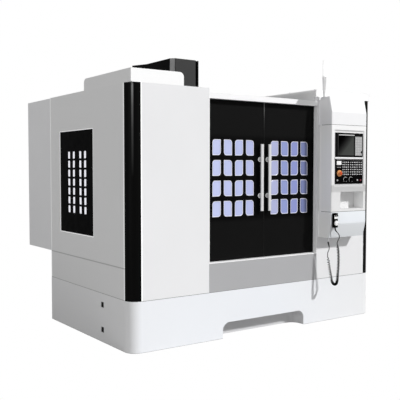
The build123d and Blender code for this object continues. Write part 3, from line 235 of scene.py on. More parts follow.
def darken_along_z(mat, stops):
    """Multiplies a paint's tone by a ramp along Z."""
    tree = mat.node_tree
    shader = tree.nodes["Principled BSDF"]
    colour = shader.inputs["Base Color"].links[0].from_socket
    feed(tree, shader, {"Base Color": mix(tree, 1.0, colour, tone_along(tree, "Z", stops), "MULTIPLY")})


def facing_shade_paint(name, stops, rough=0.4, specular=0.5, fade=None):
    """Satin paint whose tone follows how far a face turns to +x, as painted light and shade; fade is the
    weight of that along Z.
    """
    mat, tree, shader = material(name)
    normal = add_node(tree, "NewGeometry").outputs["Normal"]
    colour = ramp(tree, component(tree, normal, "X"), stops)
    if fade:
        colour = mix(tree, tone_along(tree, "Z", fade), rgba(stops[0][1]), colour)
    feed(tree, shader, {"Base Color": colour, "Roughness": rough, "Specular IOR Level": specular})
    bump(tree, shader, noise(tree, object_place(tree), 900.0, 2), 0.04)
    return mat


MOULDING_WHITE = (0.95, 0.95, 0.94)
# Painted shade: the niche greyer than the white moulding, between these places along X
NICHE_PAINTED_SHADE = [(0.70, MOULDING_WHITE), (0.715, MOULDING_WHITE), (0.74, 0.77), (1.05, 0.78), (1.12, 0.87),
               (1.18, 0.87), (1.19, MOULDING_WHITE)]


def pillar_front_shaded_paint(name, stops):
    """Moulding paint: painted shade along Z on its foremost faces, and white with painted shade in the niche
    on the others.
    """
    mat, tree, shader = material(name)
    normal = add_node(tree, "NewGeometry").outputs["Normal"]
    to_front = ramp(tree, component(tree, normal, "Y"), [(-1.0, 1), (-0.5, 1), (-0.2, 0), (1.0, 0)])
    foremost = tone_along(tree, "Y", [(-1.3, 1), (-1.19, 1), (-1.17, 0), (-1.0, 0)])
    factor = maths(tree, "MULTIPLY", to_front, foremost)
    colour = mix(tree, factor, tone_along(tree, "X", NICHE_PAINTED_SHADE), tone_along(tree, "Z", stops))
    feed(tree, shader, {"Base Color": colour, "Roughness": 0.4})
    return mat


def pane_material(name, stops, light=0.0):
    """Tinted polycarbonate; its tone runs along X as painted light and shade."""
    mat, tree, shader = material(name)
    tone = tone_along(tree, "X", stops)
    feed(tree, shader, {"Base Color": tone, "Roughness": 0.12, "Coat Weight": 0.3})
    if light:
        glow(mat, tone, light)
    return mat


def display_with_painted_sheen():
    """Dark display glass with a painted sheen that grows towards its lower right corner."""
    mat, tree, shader = material("glass")
    place = object_place(tree)
    slope = maths(tree, "SUBTRACT", component(tree, place, "X"), component(tree, place, "Z"))
    sheen = ramp(tree, slope, [(-1.12, 0.0002), (-1.03, 0.0004), (-0.99, 0.003), (-0.945, 0.015),
                               (-0.90, (0.034, 0.036, 0.034)), (-0.867, (0.055, 0.058, 0.055)),
                               (-0.70, (0.064, 0.068, 0.064))])
    feed(tree, shader, {"Base Color": sheen, "Roughness": 0.25, "Specular IOR Level": 0.01})
    return mat


# Enclosure paints
white_paint = surface("white_paint", (0.80, 0.80, 0.81), rough=(0.32, 0.42), tone=0.012, scale=1.5,
                      grain=0.05)
# Painted light: lighter than the white paint, so the door frame's header and jambs read brighter
frame_painted_light = surface("frame_painted_light", (0.93, 0.93, 0.935), rough=(0.32, 0.42), tone=0.01, scale=1.5,
                      grain=0.05)
grey_paint = surface("grey_paint", (0.41, 0.41, 0.42), rough=(0.35, 0.45), tone=0.015, scale=1.5,
                     grain=0.05)
recess_paint = surface("recess_paint", (0.70, 0.70, 0.71), rough=(0.4, 0.5), tone=0.02, scale=3.0,
                       grain=0.05)
plate_black = surface("plate_black", (0.0012, 0.0012, 0.0014), rough=(0.5, 0.6), tone=0.1, scale=3.0,
                      specular=0.02)
# Painted highlight: a pale paint that glows, for light lines along edges and on the handle flanges
glowing_painted_highlight = surface("glowing_painted_highlight", 0.95, rough=(0.3, 0.4), tone=0.01, scale=4.0)
glow(glowing_painted_highlight, rgba(1.0), 0.3)
door_paint = along_paint("door_paint", "Z", [(0.7, 0.0045), (1.07, 0.0045), (1.11, 0.0008), (1.86, 0.0008),
                                             (1.90, 0.0045), (2.3, 0.0045)],
                         rough=0.5, specular=0.05, grain=0.04)
# Painted highlight: the seal lighter towards its top
seal_painted_highlight = along_paint("seal_painted_highlight", "Z", [(0.7, 0.004), (1.93, 0.006), (2.06, 0.05), (2.21, 0.30)],
                        rough=0.4, specular=0.2)
base_paint_and_contact_shadow = along_paint("base_paint_and_contact_shadow", "X", [(-1.485, (0.815, 0.815, 0.82)), (-1.46, (0.82, 0.825, 0.835)),
                                             (-1.38, (0.83, 0.845, 0.875)), (0.1, (0.83, 0.85, 0.885)),
                                             (0.9, (0.83, 0.84, 0.86)), (1.485, (0.83, 0.835, 0.845))],
                         rough=0.38, grain=0.05)
# Painted contact shadow: the lowest few millimetres of the base are darkened
darken_along_z(base_paint_and_contact_shadow, [(0.0, 0.25), (0.004, 0.25), (0.007, 1), (0.447, 1)])

# Side sheets: two upright glowing painted highlight lines, and dark joints between the sheets
PAINTED_HIGHLIGHT_LINES = [(-1.0, 0), (-0.9645, 0), (-0.963, 1), (-0.9535, 1), (-0.952, 0), (0.620, 0), (0.6215, 1),
                (0.6315, 1), (0.633, 0), (1.3, 0)]
DARK_JOINTS = [(0.447, 0.3), (0.4495, 0.3), (0.4505, 1), (0.7215, 1), (0.7225, 0.25), (0.7265, 0.25),
               (0.7275, 1), (2.3, 1)]
side_joints_and_highlights = along_paint("side_joints_and_highlights", "Y", [(y, 0.78 + 0.2 * on) for y, on in PAINTED_HIGHLIGHT_LINES])
glow(side_joints_and_highlights, tone_along(side_joints_and_highlights.node_tree, "Y", PAINTED_HIGHLIGHT_LINES), 0.26)
darken_along_z(side_joints_and_highlights, DARK_JOINTS)

# Covers, strips, pillar and tower: painted light and shade that follow the turn of the faces
# Painted sheen: a light band on the column cover's left chamfer, a grey front and nearly black sides
cover_painted_sheen = facing_shade_paint("cover_painted_sheen", [(-1.0, 0.0008), (-0.9, 0.001), (-0.78, 0.10), (-0.70, 0.30),
                                           (-0.60, 0.16), (-0.4, 0.06), (0.0, 0.058), (1.0, 0.01)],
                           specular=0.03)
# Painted reflection: a light band down each corner strip, fading out towards the foot
strip_painted_reflection = facing_shade_paint("strip_painted_reflection", [(-1.0, 0.0028), (-0.73, 0.003), (-0.67, 0.28), (-0.61, 0.28),
                                           (-0.55, 0.003), (1.0, 0.003)],
                           specular=0.04,
                           fade=[(0.45, 0.0), (1.5, 0.0), (1.9, 0.18), (2.1, 0.4), (2.3, 1.0)])
# Painted light: the roof boxes' fronts lighter than their sides, darkest on the left
box_painted_shading = facing_shade_paint("box_painted_shading", [(-1.0, 0.79), (-0.6, 0.80), (-0.2, 0.96), (1.0, 0.90)], rough=0.35)
# Painted shading: the tower's pole lighter on its left faces than on its right
pole_painted_shading = facing_shade_paint("pole_painted_shading", [(-1.0, 0.97), (-0.6, 0.9), (-0.1, 0.58), (1.0, 0.58)])
# Painted light: lighter than the white paint, so the pillar's mouldings read brighter
pillar_painted_light = surface("pillar_painted_light", (0.90, 0.90, 0.91), rough=(0.35, 0.45), tone=0.012, scale=3.0,
                       grain=0.08)
# Painted shade: the housing darker below the keys and towards its foot, the lower cover darker towards its
# foot
housing_painted_shade = pillar_front_shaded_paint("housing_painted_shade", [(1.14, 0.78), (1.33, 0.74), (1.35, 0.55), (1.40, 0.55),
                                                     (1.42, 0.80), (2.01, 0.92)])
lower_cover_painted_shade = pillar_front_shaded_paint("lower_cover_painted_shade", [(0.88, (0.69, 0.71, 0.73)), (1.00, (0.74, 0.76, 0.78)),
                                                 (1.04, (0.82, 0.85, 0.89)), (1.14, (0.84, 0.87, 0.90))])
lens_plastic = along_paint("lens_plastic", "Z", [(2.48, 0.95), (2.648, 0.97), (2.651, 0.66), (2.67, 0.66)],
                           rough=0.2)
glow(lens_plastic, rgba(1.0), 0.4)

# Panes and display
left_pane = pane_material("left_pane", [(-0.6, (0.58, 0.63, 0.91)), (-0.35, (0.50, 0.55, 0.84)),
                                        (-0.05, (0.45, 0.49, 0.78))])
# Painted shadow: the right door's panes darken towards the pillar
right_pane_painted_shadow = pane_material("right_pane_painted_shadow", [(0.10, (0.46, 0.49, 0.74)), (0.20, (0.43, 0.46, 0.71)),
                                          (0.24, (0.29, 0.34, 0.64)), (0.33, (0.27, 0.32, 0.62)),
                                          (0.37, (0.27, 0.31, 0.62)), (0.46, (0.25, 0.29, 0.60)),
                                          (0.50, (0.17, 0.20, 0.40)), (0.60, (0.14, 0.17, 0.36))])
# Painted light: the side panes glow as if lit from behind
side_pane_painted_glow = pane_material("side_pane_painted_glow", [(-1.5, (0.93, 0.93, 1.0)), (1.5, (0.93, 0.93, 1.0))], light=0.42)
lip_clear = surface("lip_clear", (0.88, 0.88, 0.99), rough=(0.15, 0.22), tone=0.01, scale=8.0)
display_glass = display_with_painted_sheen()

# Metals and casting paint
casting_paint = surface("casting_paint", (0.62, 0.63, 0.65), rough=(0.45, 0.6), tone=0.05, scale=8.0,
                        grain=0.35, grain_scale=220.0)
ground_steel = surface("ground_steel", (0.62, 0.63, 0.65), metallic=1.0, rough=(0.18, 0.3), tone=0.05,
                       scale=30.0, grain=0.1, grain_scale=400.0, stretch=(1, 1, 6))
table_iron = surface("table_iron", (0.42, 0.42, 0.44), metallic=1.0, rough=(0.28, 0.42), tone=0.08,
                     scale=20.0, grain=0.12, grain_scale=300.0, stretch=(1, 8, 1))
machined_steel = surface("machined_steel", (0.55, 0.56, 0.58), metallic=1.0, rough=(0.2, 0.34), tone=0.06,
                         scale=25.0, grain=0.08)
sheet_steel = surface("sheet_steel", (0.60, 0.61, 0.62), metallic=1.0, rough=(0.35, 0.5), tone=0.07,
                      scale=5.0, grain=0.08, stretch=(1, 6, 1))
disc_metal = surface("disc_metal", (0.60, 0.61, 0.62), metallic=1.0, rough=(0.25, 0.4), tone=0.05,
                     scale=12.0)
galvanised = surface("galvanised", (0.62, 0.63, 0.62), metallic=0.9, rough=(0.4, 0.6), tone=0.12, scale=60.0)
zinc = surface("zinc", (0.55, 0.55, 0.54), metallic=0.9, rough=(0.3, 0.45), tone=0.08, scale=50.0)
foot_steel = surface("foot_steel", 0.12, metallic=0.8, rough=(0.4, 0.6), tone=0.15, scale=30.0)
anodised = surface("anodised", 0.80, metallic=0.3, rough=(0.35, 0.42), tone=0.01, scale=3.0)
silver_paint = surface("silver_paint", 0.62, metallic=0.2, rough=(0.3, 0.4), tone=0.02, scale=20.0)
motor_paint = surface("motor_paint", (0.03, 0.03, 0.032), rough=(0.4, 0.55), tone=0.15, scale=12.0,
                      grain=0.2)

# Plastics, rubbers and cloth
black_gloss = surface("black_gloss", 0.003, rough=(0.2, 0.3), tone=0.1, scale=4.0, specular=0.08)
black_matt = surface("black_matt", 0.0015, rough=(0.45, 0.6), tone=0.15, scale=30.0, grain=0.2,
                     grain_scale=1500.0, specular=0.02)
black_rubber = surface("black_rubber", 0.006, rough=(0.5, 0.65), tone=0.2, scale=20.0, specular=0.2)
cord_rubber = surface("cord_rubber", 0.003, rough=(0.4, 0.5), tone=0.1, scale=60.0, specular=0.08)
gasket_grey = surface("gasket_grey", 0.05, rough=(0.5, 0.6), tone=0.1, scale=20.0, specular=0.2)
seam_grey = surface("seam_grey", 0.10, rough=(0.5, 0.6), tone=0.1, scale=20.0, specular=0.2)
soft_grey = surface("soft_grey", 0.38, rough=(0.4, 0.5), tone=0.05, scale=40.0)
soft_light = surface("soft_light", 0.47, rough=(0.4, 0.5), tone=0.08, scale=40.0)
legend_grey = surface("legend_grey", 0.50, rough=(0.4, 0.5), tone=0.05, scale=60.0)
gland_plastic = surface("gland_plastic", (0.62, 0.62, 0.63), rough=(0.4, 0.5), tone=0.05, scale=60.0)
pale_plastic = surface("pale_plastic", (0.70, 0.70, 0.71), rough=(0.35, 0.45), tone=0.03, scale=40.0)
wheel_pale = surface("wheel_pale", 0.93, rough=(0.3, 0.4), tone=0.04, scale=80.0)
red_plastic = surface("red_plastic", (0.62, 0.08, 0.015), rough=(0.2, 0.3), tone=0.04, scale=60.0)
dark_red = surface("dark_red", (0.20, 0.01, 0.03), rough=(0.25, 0.35), tone=0.04, scale=60.0)
# Amber paint, also a painted highlight on the side of the emergency stop's cap
amber = surface("amber", (0.88, 0.40, 0.14), rough=(0.25, 0.35), tone=0.03, scale=40.0)
bellows_cloth = surface("bellows_cloth", (0.03, 0.03, 0.033), rough=(0.55, 0.75), tone=0.2, scale=15.0,
                        grain=0.4, grain_scale=1400.0)
bellows_fine_cloth = surface("bellows_cloth_fine", (0.035, 0.035, 0.038), rough=(0.55, 0.7), tone=0.15,
                        scale=30.0, grain=0.25, grain_scale=1800.0)

# The finish of every slot, and of the nodes that have one of their own
FINISHES = {
    "casting": casting_paint, "ground_steel": ground_steel, "table_iron": table_iron,
    "machined_steel": machined_steel, "motor": motor_paint, "foot_steel": foot_steel, "pan": sheet_steel,
    "galvanised": galvanised, "disc": disc_metal, "claw": black_gloss, "bellows": bellows_cloth,
    "white_panel": white_paint, "grey_panel": grey_paint, "black_panel": door_paint, "pane": left_pane,
    "handle": anodised, "pillar_white": pillar_painted_light, "screen_black": black_gloss, "key_black": black_matt,
    "stop_red": red_plastic, "knob": black_matt, "pendant_black": black_matt, "wheel_silver": wheel_pale,
    "cord": cord_rubber, "gland": gland_plastic, "pole": pole_painted_shading, "lens": lens_plastic,
}
OWN_FINISHES = {
    "right_door_glass": right_pane_painted_shadow, "side_window_panes": side_pane_painted_glow, "side_window_frames": plate_black,
    "door_frame": frame_painted_light, "column_top_cover": cover_painted_sheen, "corner_strips": strip_painted_reflection,
    "top_covers": box_painted_shading, "pillar_housing": housing_painted_shade, "pillar_lower_cover": lower_cover_painted_shade,
    "base_skirt": base_paint_and_contact_shadow, "side_panels": side_joints_and_highlights, "kick_recess": recess_paint,
}
for part in frame["record"]["subparts"]:
    finish = OWN_FINISHES.get(part["node"], FINISHES[part["material_slot"]])
    for holder in nodes[part["node"]].material_slots:
        holder.material = finish

# Small edge rounding, in millimetres, so that the edges of the CAD pieces catch the light
EDGE_ROUNDING = {
    "front_panels": 2.0, "base_skirt": 2.5, "side_panels": 2.0, "top_covers": 2.0, "door_frame": 1.5,
    "apron_panel": 1.5, "left_door": 1.2, "right_door": 1.2, "rear_cabinet": 2.5, "cabinet_door": 1.5,
    "column_top_cover": 3.0, "pillar_housing": 3.0, "pillar_hood": 4.0, "pillar_lower_cover": 4.0,
    "side_window_frames": 1.0, "screen_unit": 0.8, "corner_strips": 1.0, "kick_recess": 2.0,
}


def round_edges(obj, width, sharper_than, harden=False):
    modifier = obj.modifiers.new("edge", "BEVEL")
    modifier.width = width / 1000
    modifier.segments = 2
    modifier.limit_method = "ANGLE"
    modifier.angle_limit = math.radians(sharper_than)
    modifier.harden_normals = harden


for name, width in EDGE_ROUNDING.items():
    round_edges(nodes[name], width, 40, harden=True)

# Curly cord of the pendant: one spline, in millimetres, along the route of the CAD tubes
CORD_RADIUS = 3.75
# The smooth curve runs a little inside its control points, which lie on this radius
HELIX_RADIUS = 10.85
# The pitch of the turns, as (share of the curl's length, pitch)
CURL_PITCH = ((0.0, 22.0), (0.06, 15.5), (0.36, 15.0), (0.48, 9.5), (0.60, 9.5), (0.70, 15.0), (0.85, 24.0),
              (1.0, 32.0))
TURN_POINTS = 12
# The helix opens and closes over so many turns, and so many of its points give way to the leads at each end
GROWING_TURNS = 2.5
JOINT_POINTS = (3, 4)
LEAD_TOP = [
    (731, -201, 987), (731.5, -201.3, 969), (742, -203.5, 951), (765, -206, 932), (784, -207, 912),
    (788, -207, 889), (779, -207, 868), (763, -206.5, 850), (757, -206, 831),
]
CURL = [
    (757, -206, 831), (763, -211, 780), (766, -215, 726), (765.5, -218, 668), (763, -219, 608),
    (759, -218, 552), (755.5, -216, 494), (753.5, -213, 434.5), (757.3, -187.8, 409), (762.7, -152.2, 409),
    (766.5, -127, 434.5), (757, -122, 492), (745, -119, 548), (733.5, -117.5, 604), (723, -117, 656),
    (712.5, -118, 709),
]
LEAD_BOTTOM = [
    (712.5, -118, 709), (714, -118, 724), (722, -119, 741), (732, -120, 757), (735, -121, 778),
    (729, -121, 799), (721.5, -120.5, 819), (717, -120, 838),
]


def curve_object(name, points, bevel=0.0):
    """A smooth curve whose control points these are; with a bevel it is a round tube."""
    curve = bpy.data.curves.new(name, "CURVE")
    curve.dimensions = "3D"
    spline = curve.splines.new("NURBS")
    spline.points.add(len(points) - 1)
    for place, point in zip(spline.points, points):
        place.co = (*point, 1)
    spline.order_u = 3
    spline.use_endpoint_u = True
    spline.resolution_u = 4 if bevel else 16
    curve.bevel_depth = bevel
    curve.bevel_resolution = 3
    curve.use_fill_caps = bool(bevel)
    return new_object(name, curve)


def smooth_line(points):
    """The points of the smooth curve with these control points, in order."""
    guide = curve_object("guide", points)
    bpy.context.view_layer.update()
    mesh = bpy.data.meshes.new_from_object(guide)
    line = [v.co.copy() for v in mesh.vertices]
    bpy.data.meshes.remove(mesh)
    bpy.data.objects.remove(guide)
    return line


def length_of(line):
    return sum((b - a).length for a, b in zip(line, line[1:]))


def pitch_at(share):
    """The curl's pitch at a share of its length, in millimetres."""
    for (s0, p0), (s1, p1) in zip(CURL_PITCH, CURL_PITCH[1:]):
        if share <= s1:
            return p0 + (p1 - p0) * (share - s0) / (s1 - s0)
    return CURL_PITCH[-1][1]


def helix_points(line):
    """Points of a helix round a line; its radius grows from nothing over the first and last turns."""
    total = length_of(line)
    places, here = [0.0], 0.0
    while here < total:
        here += pitch_at(here / total) / 1000 / TURN_POINTS
        places.append(here)
    places = [place * total / here for place in places]
    steps, growing = len(places) - 1, GROWING_TURNS * TURN_POINTS
    points, side = [], Vector((1, 0, 0))
    segment, gone = 0, 0.0
    for i, target in enumerate(places[:-1]):
        while segment < len(line) - 2 and gone + (line[segment + 1] - line[segment]).length < target:
            gone += (line[segment + 1] - line[segment]).length
            segment += 1
        along = (line[segment + 1] - line[segment]).normalized()
        centre = line[segment] + along * (target - gone)
        side = (side - along * side.dot(along)).normalized()
        other = along.cross(side)
        turn = 2 * math.pi * i / TURN_POINTS
        grow = min(1.0, i / growing, (steps - i) / growing)
        grow *= grow * (3 - 2 * grow)
        points.append(centre + (side * math.cos(turn) + other * math.sin(turn)) * HELIX_RADIUS / 1000 * grow)
    return points


def pendant_cord():
    """The cord from the pendant's lower end to its gland: lead, curl and lead."""
    curl = helix_points(smooth_line([at(*p) for p in CURL]))
    first, last = JOINT_POINTS
    points = [at(*p) for p in LEAD_TOP] + curl[first:-last] + [at(*p) for p in LEAD_BOTTOM[1:]]
    cord_length = length_of(smooth_line(points))
    cord = curve_object("pendant_cord", points, CORD_RADIUS / 1000)
    cord.data.materials.append(cord_rubber)
    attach(cord, "machine")
    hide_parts("cord_coil", "cord_leads")


# Detail pieces


class Piece:
    """Gathers the parts of one detail piece, in millimetres from an origin, and makes its mesh object."""

    def __init__(self, origin=(0, 0, 0)):
        self.bm = bmesh.new()
        self.origin = origin

    def corner(self, *place):
        return self.bm.verts.new(at(*(o + p for o, p in zip(self.origin, place))))

    def faces(self, points, faces, mat=0):
        corners = [self.corner(*p) for p in points]
        for indices in faces:
            self.bm.faces.new([corners[i] for i in indices]).material_index = mat

    def block(self, x0, x1, y0, y1, z0, z1, mat=0):
        points = [(x, y, z) for x in (x0, x1) for y in (y0, y1) for z in (z0, z1)]
        faces = [(0, 1, 3, 2), (4, 6, 7, 5), (0, 4, 5, 1), (2, 3, 7, 6), (0, 2, 6, 4), (1, 5, 7, 3)]
        self.faces(points, faces, mat)

    def prism(self, outline, place, mat=0):
        """A prism: place turns an outline point and 0 or 1 into a point."""
        n = len(outline)
        points = [place(p, end) for end in (0, 1) for p in outline]
        ends = [tuple(range(n)), tuple(range(n, 2 * n))]
        self.faces(points, ends + [(i, j, n + j, n + i) for i, j in neighbours(n)], mat)

    def ring(self, outer, inner, place, mat=0):
        """A closed frame between two outlines with as many points each."""
        n = len(outer)
        points = [place(p, end) for end in (0, 1) for p in outer + inner]
        quads = []
        for i, j in neighbours(n):
            quads += [(i, j, n + j, n + i), (2 * n + i, 2 * n + j, 3 * n + j, 3 * n + i)]
            quads += [(i, j, 2 * n + j, 2 * n + i), (n + i, n + j, 3 * n + j, 3 * n + i)]
        self.faces(points, quads, mat)

    def skin(self, rings, mat=0):
        """A closed tube through rings of corners: its sides, then its two ends."""
        for low, high in zip(rings, rings[1:]):
            for i, j in neighbours(len(low)):
                self.bm.faces.new((low[i], low[j], high[j], high[i])).material_index = mat
        for ring in (rings[0], rings[-1]):
            self.bm.faces.new(ring).material_index = mat

    def turned(self, centre, axis, profile, steps, mat=0):
        """A turned form; the profile is (distance along the axis, radius), closed by its end discs."""
        rings = []
        for along, radius in profile:
            ring = []
            for i in range(steps):
                angle = 2 * math.pi * i / steps
                a, b = radius * math.cos(angle), radius * math.sin(angle)
                offset = {"x": (along, a, b), "y": (a, along, b), "z": (a, b, along)}[axis]
                ring.append(self.corner(*(c + o for c, o in zip(centre, offset))))
            rings.append(ring)
        self.skin(rings, mat)

    def done(self, name, mats, body, slot, bevel=0.0, smooth=False):
        """Makes the mesh object, rounds its edges and gives it its body."""
        bmesh.ops.recalc_face_normals(self.bm, faces=self.bm.faces)
        mesh = bpy.data.meshes.new(name)
        self.bm.to_mesh(mesh)
        self.bm.free()
        for mat in mats:
            mesh.materials.append(mat)
        piece = new_object(name, mesh)
        if bevel:
            round_edges(piece, bevel, 50)
        if smooth:
            mesh.shade_smooth()
            mesh.set_sharp_from_angle(angle=math.radians(40))
        if body:
            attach(piece, body)
        return piece


def neighbours(n):
    """The pairs of next places round a closed outline of n points."""
    return [(i, (i + 1) % n) for i in range(n)]


def front_place(y0, y1):
    """Places (x, z) outlines on planes y0 and y1."""
    return lambda p, end: (p[0], y1 if end else y0, p[1])


def side_place(x0, x1):
    """Places (y, z) outlines on planes x0 and x1."""
    return lambda p, end: (x1 if end else x0, p[0], p[1])


def level_place(z0, z1):
    """Places (x, y) outlines on planes z0 and z1."""
    return lambda p, end: (p[0], p[1], z1 if end else z0)


QUARTERS = ((1, 1), (-1, 1), (-1, -1), (1, -1))


def rounded_corner(cx, cz, radius, quarter, steps):
    """The points of a quarter circle."""
    angles = [math.radians(90 * quarter + 90 * i / steps) for i in range(steps + 1)]
    return [(cx + radius * math.cos(angle), cz + radius * math.sin(angle)) for angle in angles]


def leaf_outline(cx, cz, size, radius, lean, inset=0.0):
    """A window cell: two opposite corners round, the other two nearly square."""
    w, h = size[0] / 2 - inset, size[1] / 2 - inset
    outline = []
    for quarter, (sx, sz) in enumerate(QUARTERS):
        r = max(radius - inset, 1.0) if sx * sz == lean else max(6.0 - inset, 0.5)
        outline += rounded_corner(cx + sx * (w - r), cz + sz * (h - r), r, quarter, 6)
    return outline


def rounded_outline(x0, x1, z0, z1, radius):
    """A rectangle with round corners."""
    outline = []
    for quarter, (sx, sz) in enumerate(QUARTERS):
        cx = x1 - radius if sx > 0 else x0 + radius
        cz = z1 - radius if sz > 0 else z0 + radius
        outline += rounded_corner(cx, cz, radius, quarter, 5)
    return outline


def radial_mark(cx, cz, degrees, r0, r1, half_width):
    """A straight mark of a dial, from radius r0 to r1."""
    c, s = math.cos(math.radians(degrees)), math.sin(math.radians(degrees))
    return [(cx + r * c + w * s, cz + r * s - w * c)
            for r, w in ((r0, -half_width), (r1, -half_width), (r1, half_width), (r0, half_width))]


# Door windows: cells counted from the upper left corner of the pane
DOOR_CELL = (96.4, 146.4)
DOOR_CELL_CORNER = 30
FIRST_DOOR_CELL = (66.5, -91.5)
DOOR_CELL_PITCH = (130.5, 190.0)


def door_window_lips(side, tint):
    """A clear moulded lip and a raised lens in every cell."""
    (left, _), (face, _), (_, top) = spans(side + "_door_glass")
    cells = Piece((left, face, top))
    for col in range(4):
        for row in range(4):
            x = FIRST_DOOR_CELL[0] + col * DOOR_CELL_PITCH[0]
            z = FIRST_DOOR_CELL[1] - row * DOOR_CELL_PITCH[1]
            lean = 1 if col % 2 else -1
            outer, lip, lens = [leaf_outline(x, z, DOOR_CELL, DOOR_CELL_CORNER, lean, inset)
                                for inset in (0, 6, 14)]
            cells.ring(outer, lip, front_place(-2.2, -0.1), 0)
            cells.prism(lens, front_place(-1.6, -0.1), 1)
    cells.done(side + "_window_lips", [lip_clear, tint], side + "_door", "pane", bevel=0.6)


# Side windows: cells counted from the lower front corner of the pane
SIDE_CELL = (55.4, 74.4)
SIDE_CELL_CORNER = 14
SIDE_CELL_COLUMNS = (46, 152, 299, 410)
FIRST_SIDE_ROW, SIDE_ROW_PITCH = 55.5, 88.0
PLATE_SCREW = [(-0.1, 7), (2, 7), (3.2, 5), (3.2, 2.5), (1.5, 2.5)]
PLATE_SCREW_INSET = 39
PLATE_MIDDLE_SCREW = 522


def side_window_lips(side, sign):
    """Dark lips in the cells of the black plate."""
    face = spans("side_window_frames")[0][1]
    _, (front, _), (bottom, _) = spans("side_window_panes")
    cells = Piece((0, front, bottom))
    for i, y in enumerate(SIDE_CELL_COLUMNS):
        for row in range(7):
            z = FIRST_SIDE_ROW + row * SIDE_ROW_PITCH
            lean = -1 if i % 2 else 1
            outer, lip = [leaf_outline(y, z, SIDE_CELL, SIDE_CELL_CORNER, lean, inset) for inset in (0, 3.5)]
            cells.ring(outer, lip, side_place(sign * (face - 5), sign * (face - 3)), 0)
    cells.done(side + "_side_window_lips", [black_rubber], "machine", "key_black", bevel=0.5)


def side_window_trim(side, sign):
    """The cut edge round the black plate, in glowing paint as a painted highlight, and the plate's nine
    screws.
    """
    (_, face), (y0, y1), (z0, z1) = spans("side_window_frames")
    trim = Piece()
    opening = rounded_outline(y0 + 20.5, y1 - 20.5, z0 + 20.5, z1 - 20.5, 2)
    inside = rounded_outline(y0 + 26.5, y1 - 26, z0 + 27, z1 - 26.5, 2)
    trim.ring(opening, inside, side_place(sign * (face - 0.2), sign * (HALF_WIDTH - 0.4)))
    for y in (y0 + PLATE_SCREW_INSET, (y0 + y1) / 2, y1 - PLATE_SCREW_INSET):
        for z in (z0 + PLATE_SCREW_INSET, z0 + PLATE_MIDDLE_SCREW, z1 - PLATE_SCREW_INSET):
            trim.turned((sign * face, y, z), "x", [(sign * d, r) for d, r in PLATE_SCREW], 16, 1)
    trim.done(side + "_window_trim", [glowing_painted_highlight, black_rubber], "machine", "white_panel", bevel=0.4)


# Side slots of the base
SLOT_FLOORS = (92.0, 320.0)
SLOT_FRONT, SLOT_BACK = 494, 561


def base_slot_black_blocks():
    """Black blocks with three fins each in the side slots."""
    slot_blocks = Piece()
    for sign in (-1, 1):
        body_x = sorted((sign * (HALF_WIDTH - 5.4), sign * (HALF_WIDTH - 26)))
        fin_x = sorted((sign * (HALF_WIDTH - 2.5), sign * (HALF_WIDTH - 5.6)))
        for z in SLOT_FLOORS:
            slot_blocks.block(*body_x, SLOT_FRONT, SLOT_BACK, z - 6, z + 56)
            for k in range(3):
                slot_blocks.block(*fin_x, SLOT_FRONT + 7, SLOT_BACK - 7, z + 7 + 15 * k, z + 10 + 15 * k)
    slot_blocks.done("base_slot_black_blocks", [black_rubber], "machine", "key_black", bevel=1.0)


def strip_beads():
    """A thin bead along each black corner strip: on the left a glowing painted highlight, black on the
    right.
    """
    (_, edge), _, (z0, z1) = spans("front_panels")
    beads = Piece()
    for mat, (_, sign) in enumerate(SIDES):
        beads.block(*sorted((sign * (edge - 10), sign * edge)), -0.8, 1.5, z0 + 2, z1 - 1, mat)
    beads.done("strip_beads", [glowing_painted_highlight, plate_black], "machine", "white_panel", bevel=0.3)


def door_seal():
    """A seal on the right door's leading edge, its grey lighter towards the top as a painted highlight."""
    (x0, _), (y0, y1), (z0, z1) = spans("right_door")
    seal = Piece()
    seal.block(x0, x0 + 5, y0 - 1.4, y0 + 0.2, z0 + 3, z1 - 2)
    seal.block(x0 - 0.4, x0 + 1.2, y0 + 0.4, y1 - 3, z0 + 3, z1 - 2)
    seal.done("door_seal", [seal_painted_highlight], "right_door", "black_panel", bevel=0.4)


# Door handles
FLANGE = [(-0.1, 23), (-3, 23), (-4.5, 21.5), (-4.5, 19.5), (-3, 19.5)]
HANDLE_SCREW = [(0, 6.5), (1.9, 6.5), (1.9, 3.5), (0.8, 3.5)]
POST_INSET = 146


def handle_fittings(side):
    """Flanges on the door in glowing paint as a painted highlight, and screws and end caps on the bar."""
    (x0, x1), (front, back), (z0, z1) = spans(side + "_handle")
    fittings = Piece(((x0 + x1) / 2, 0, 0))
    for z in (z0 + POST_INSET, z1 - POST_INSET):
        fittings.turned((0, back, z), "y", FLANGE, 32, 1)
        fittings.turned((0, front - 1.8, z), "y", HANDLE_SCREW, 20)
    for z in (z0, z1 - 8):
        fittings.prism(rounded_outline(-16.6, 16.6, front - 0.6, front + 19.6, 8), level_place(z, z + 8))
    fittings.done(side + "_handle_fittings", [anodised, glowing_painted_highlight], side + "_door", "handle", bevel=0.6,
                  smooth=True)


def display():
    """The display's glass, its bevelled frame, a silver bar above it and a slanting edge at its left."""
    screen = Piece(low_corner("screen_unit"))
    screen.block(38, 265, 4.8, 5.9, 15, 218, 0)
    frame_outline = rounded_outline(33, 271, 9, 226, 4)
    screen.ring(frame_outline, rounded_outline(40, 264, 16, 216, 4), front_place(1.4, 5.8), 1)
    screen.block(41, 267, 0.4, 2.8, 216, 226, 2)
    slant = [(29, 6), (41, 12), (41, 218), (29, 227)]
    screen.prism(slant, lambda p, end: (p[0], 0.8 + (p[0] - 29) * 0.13 + end, p[1]), 3)
    mats = [display_glass, black_gloss, silver_paint, gasket_grey]
    screen.done("display_glass", mats, "machine", "screen_black", bevel=0.8)


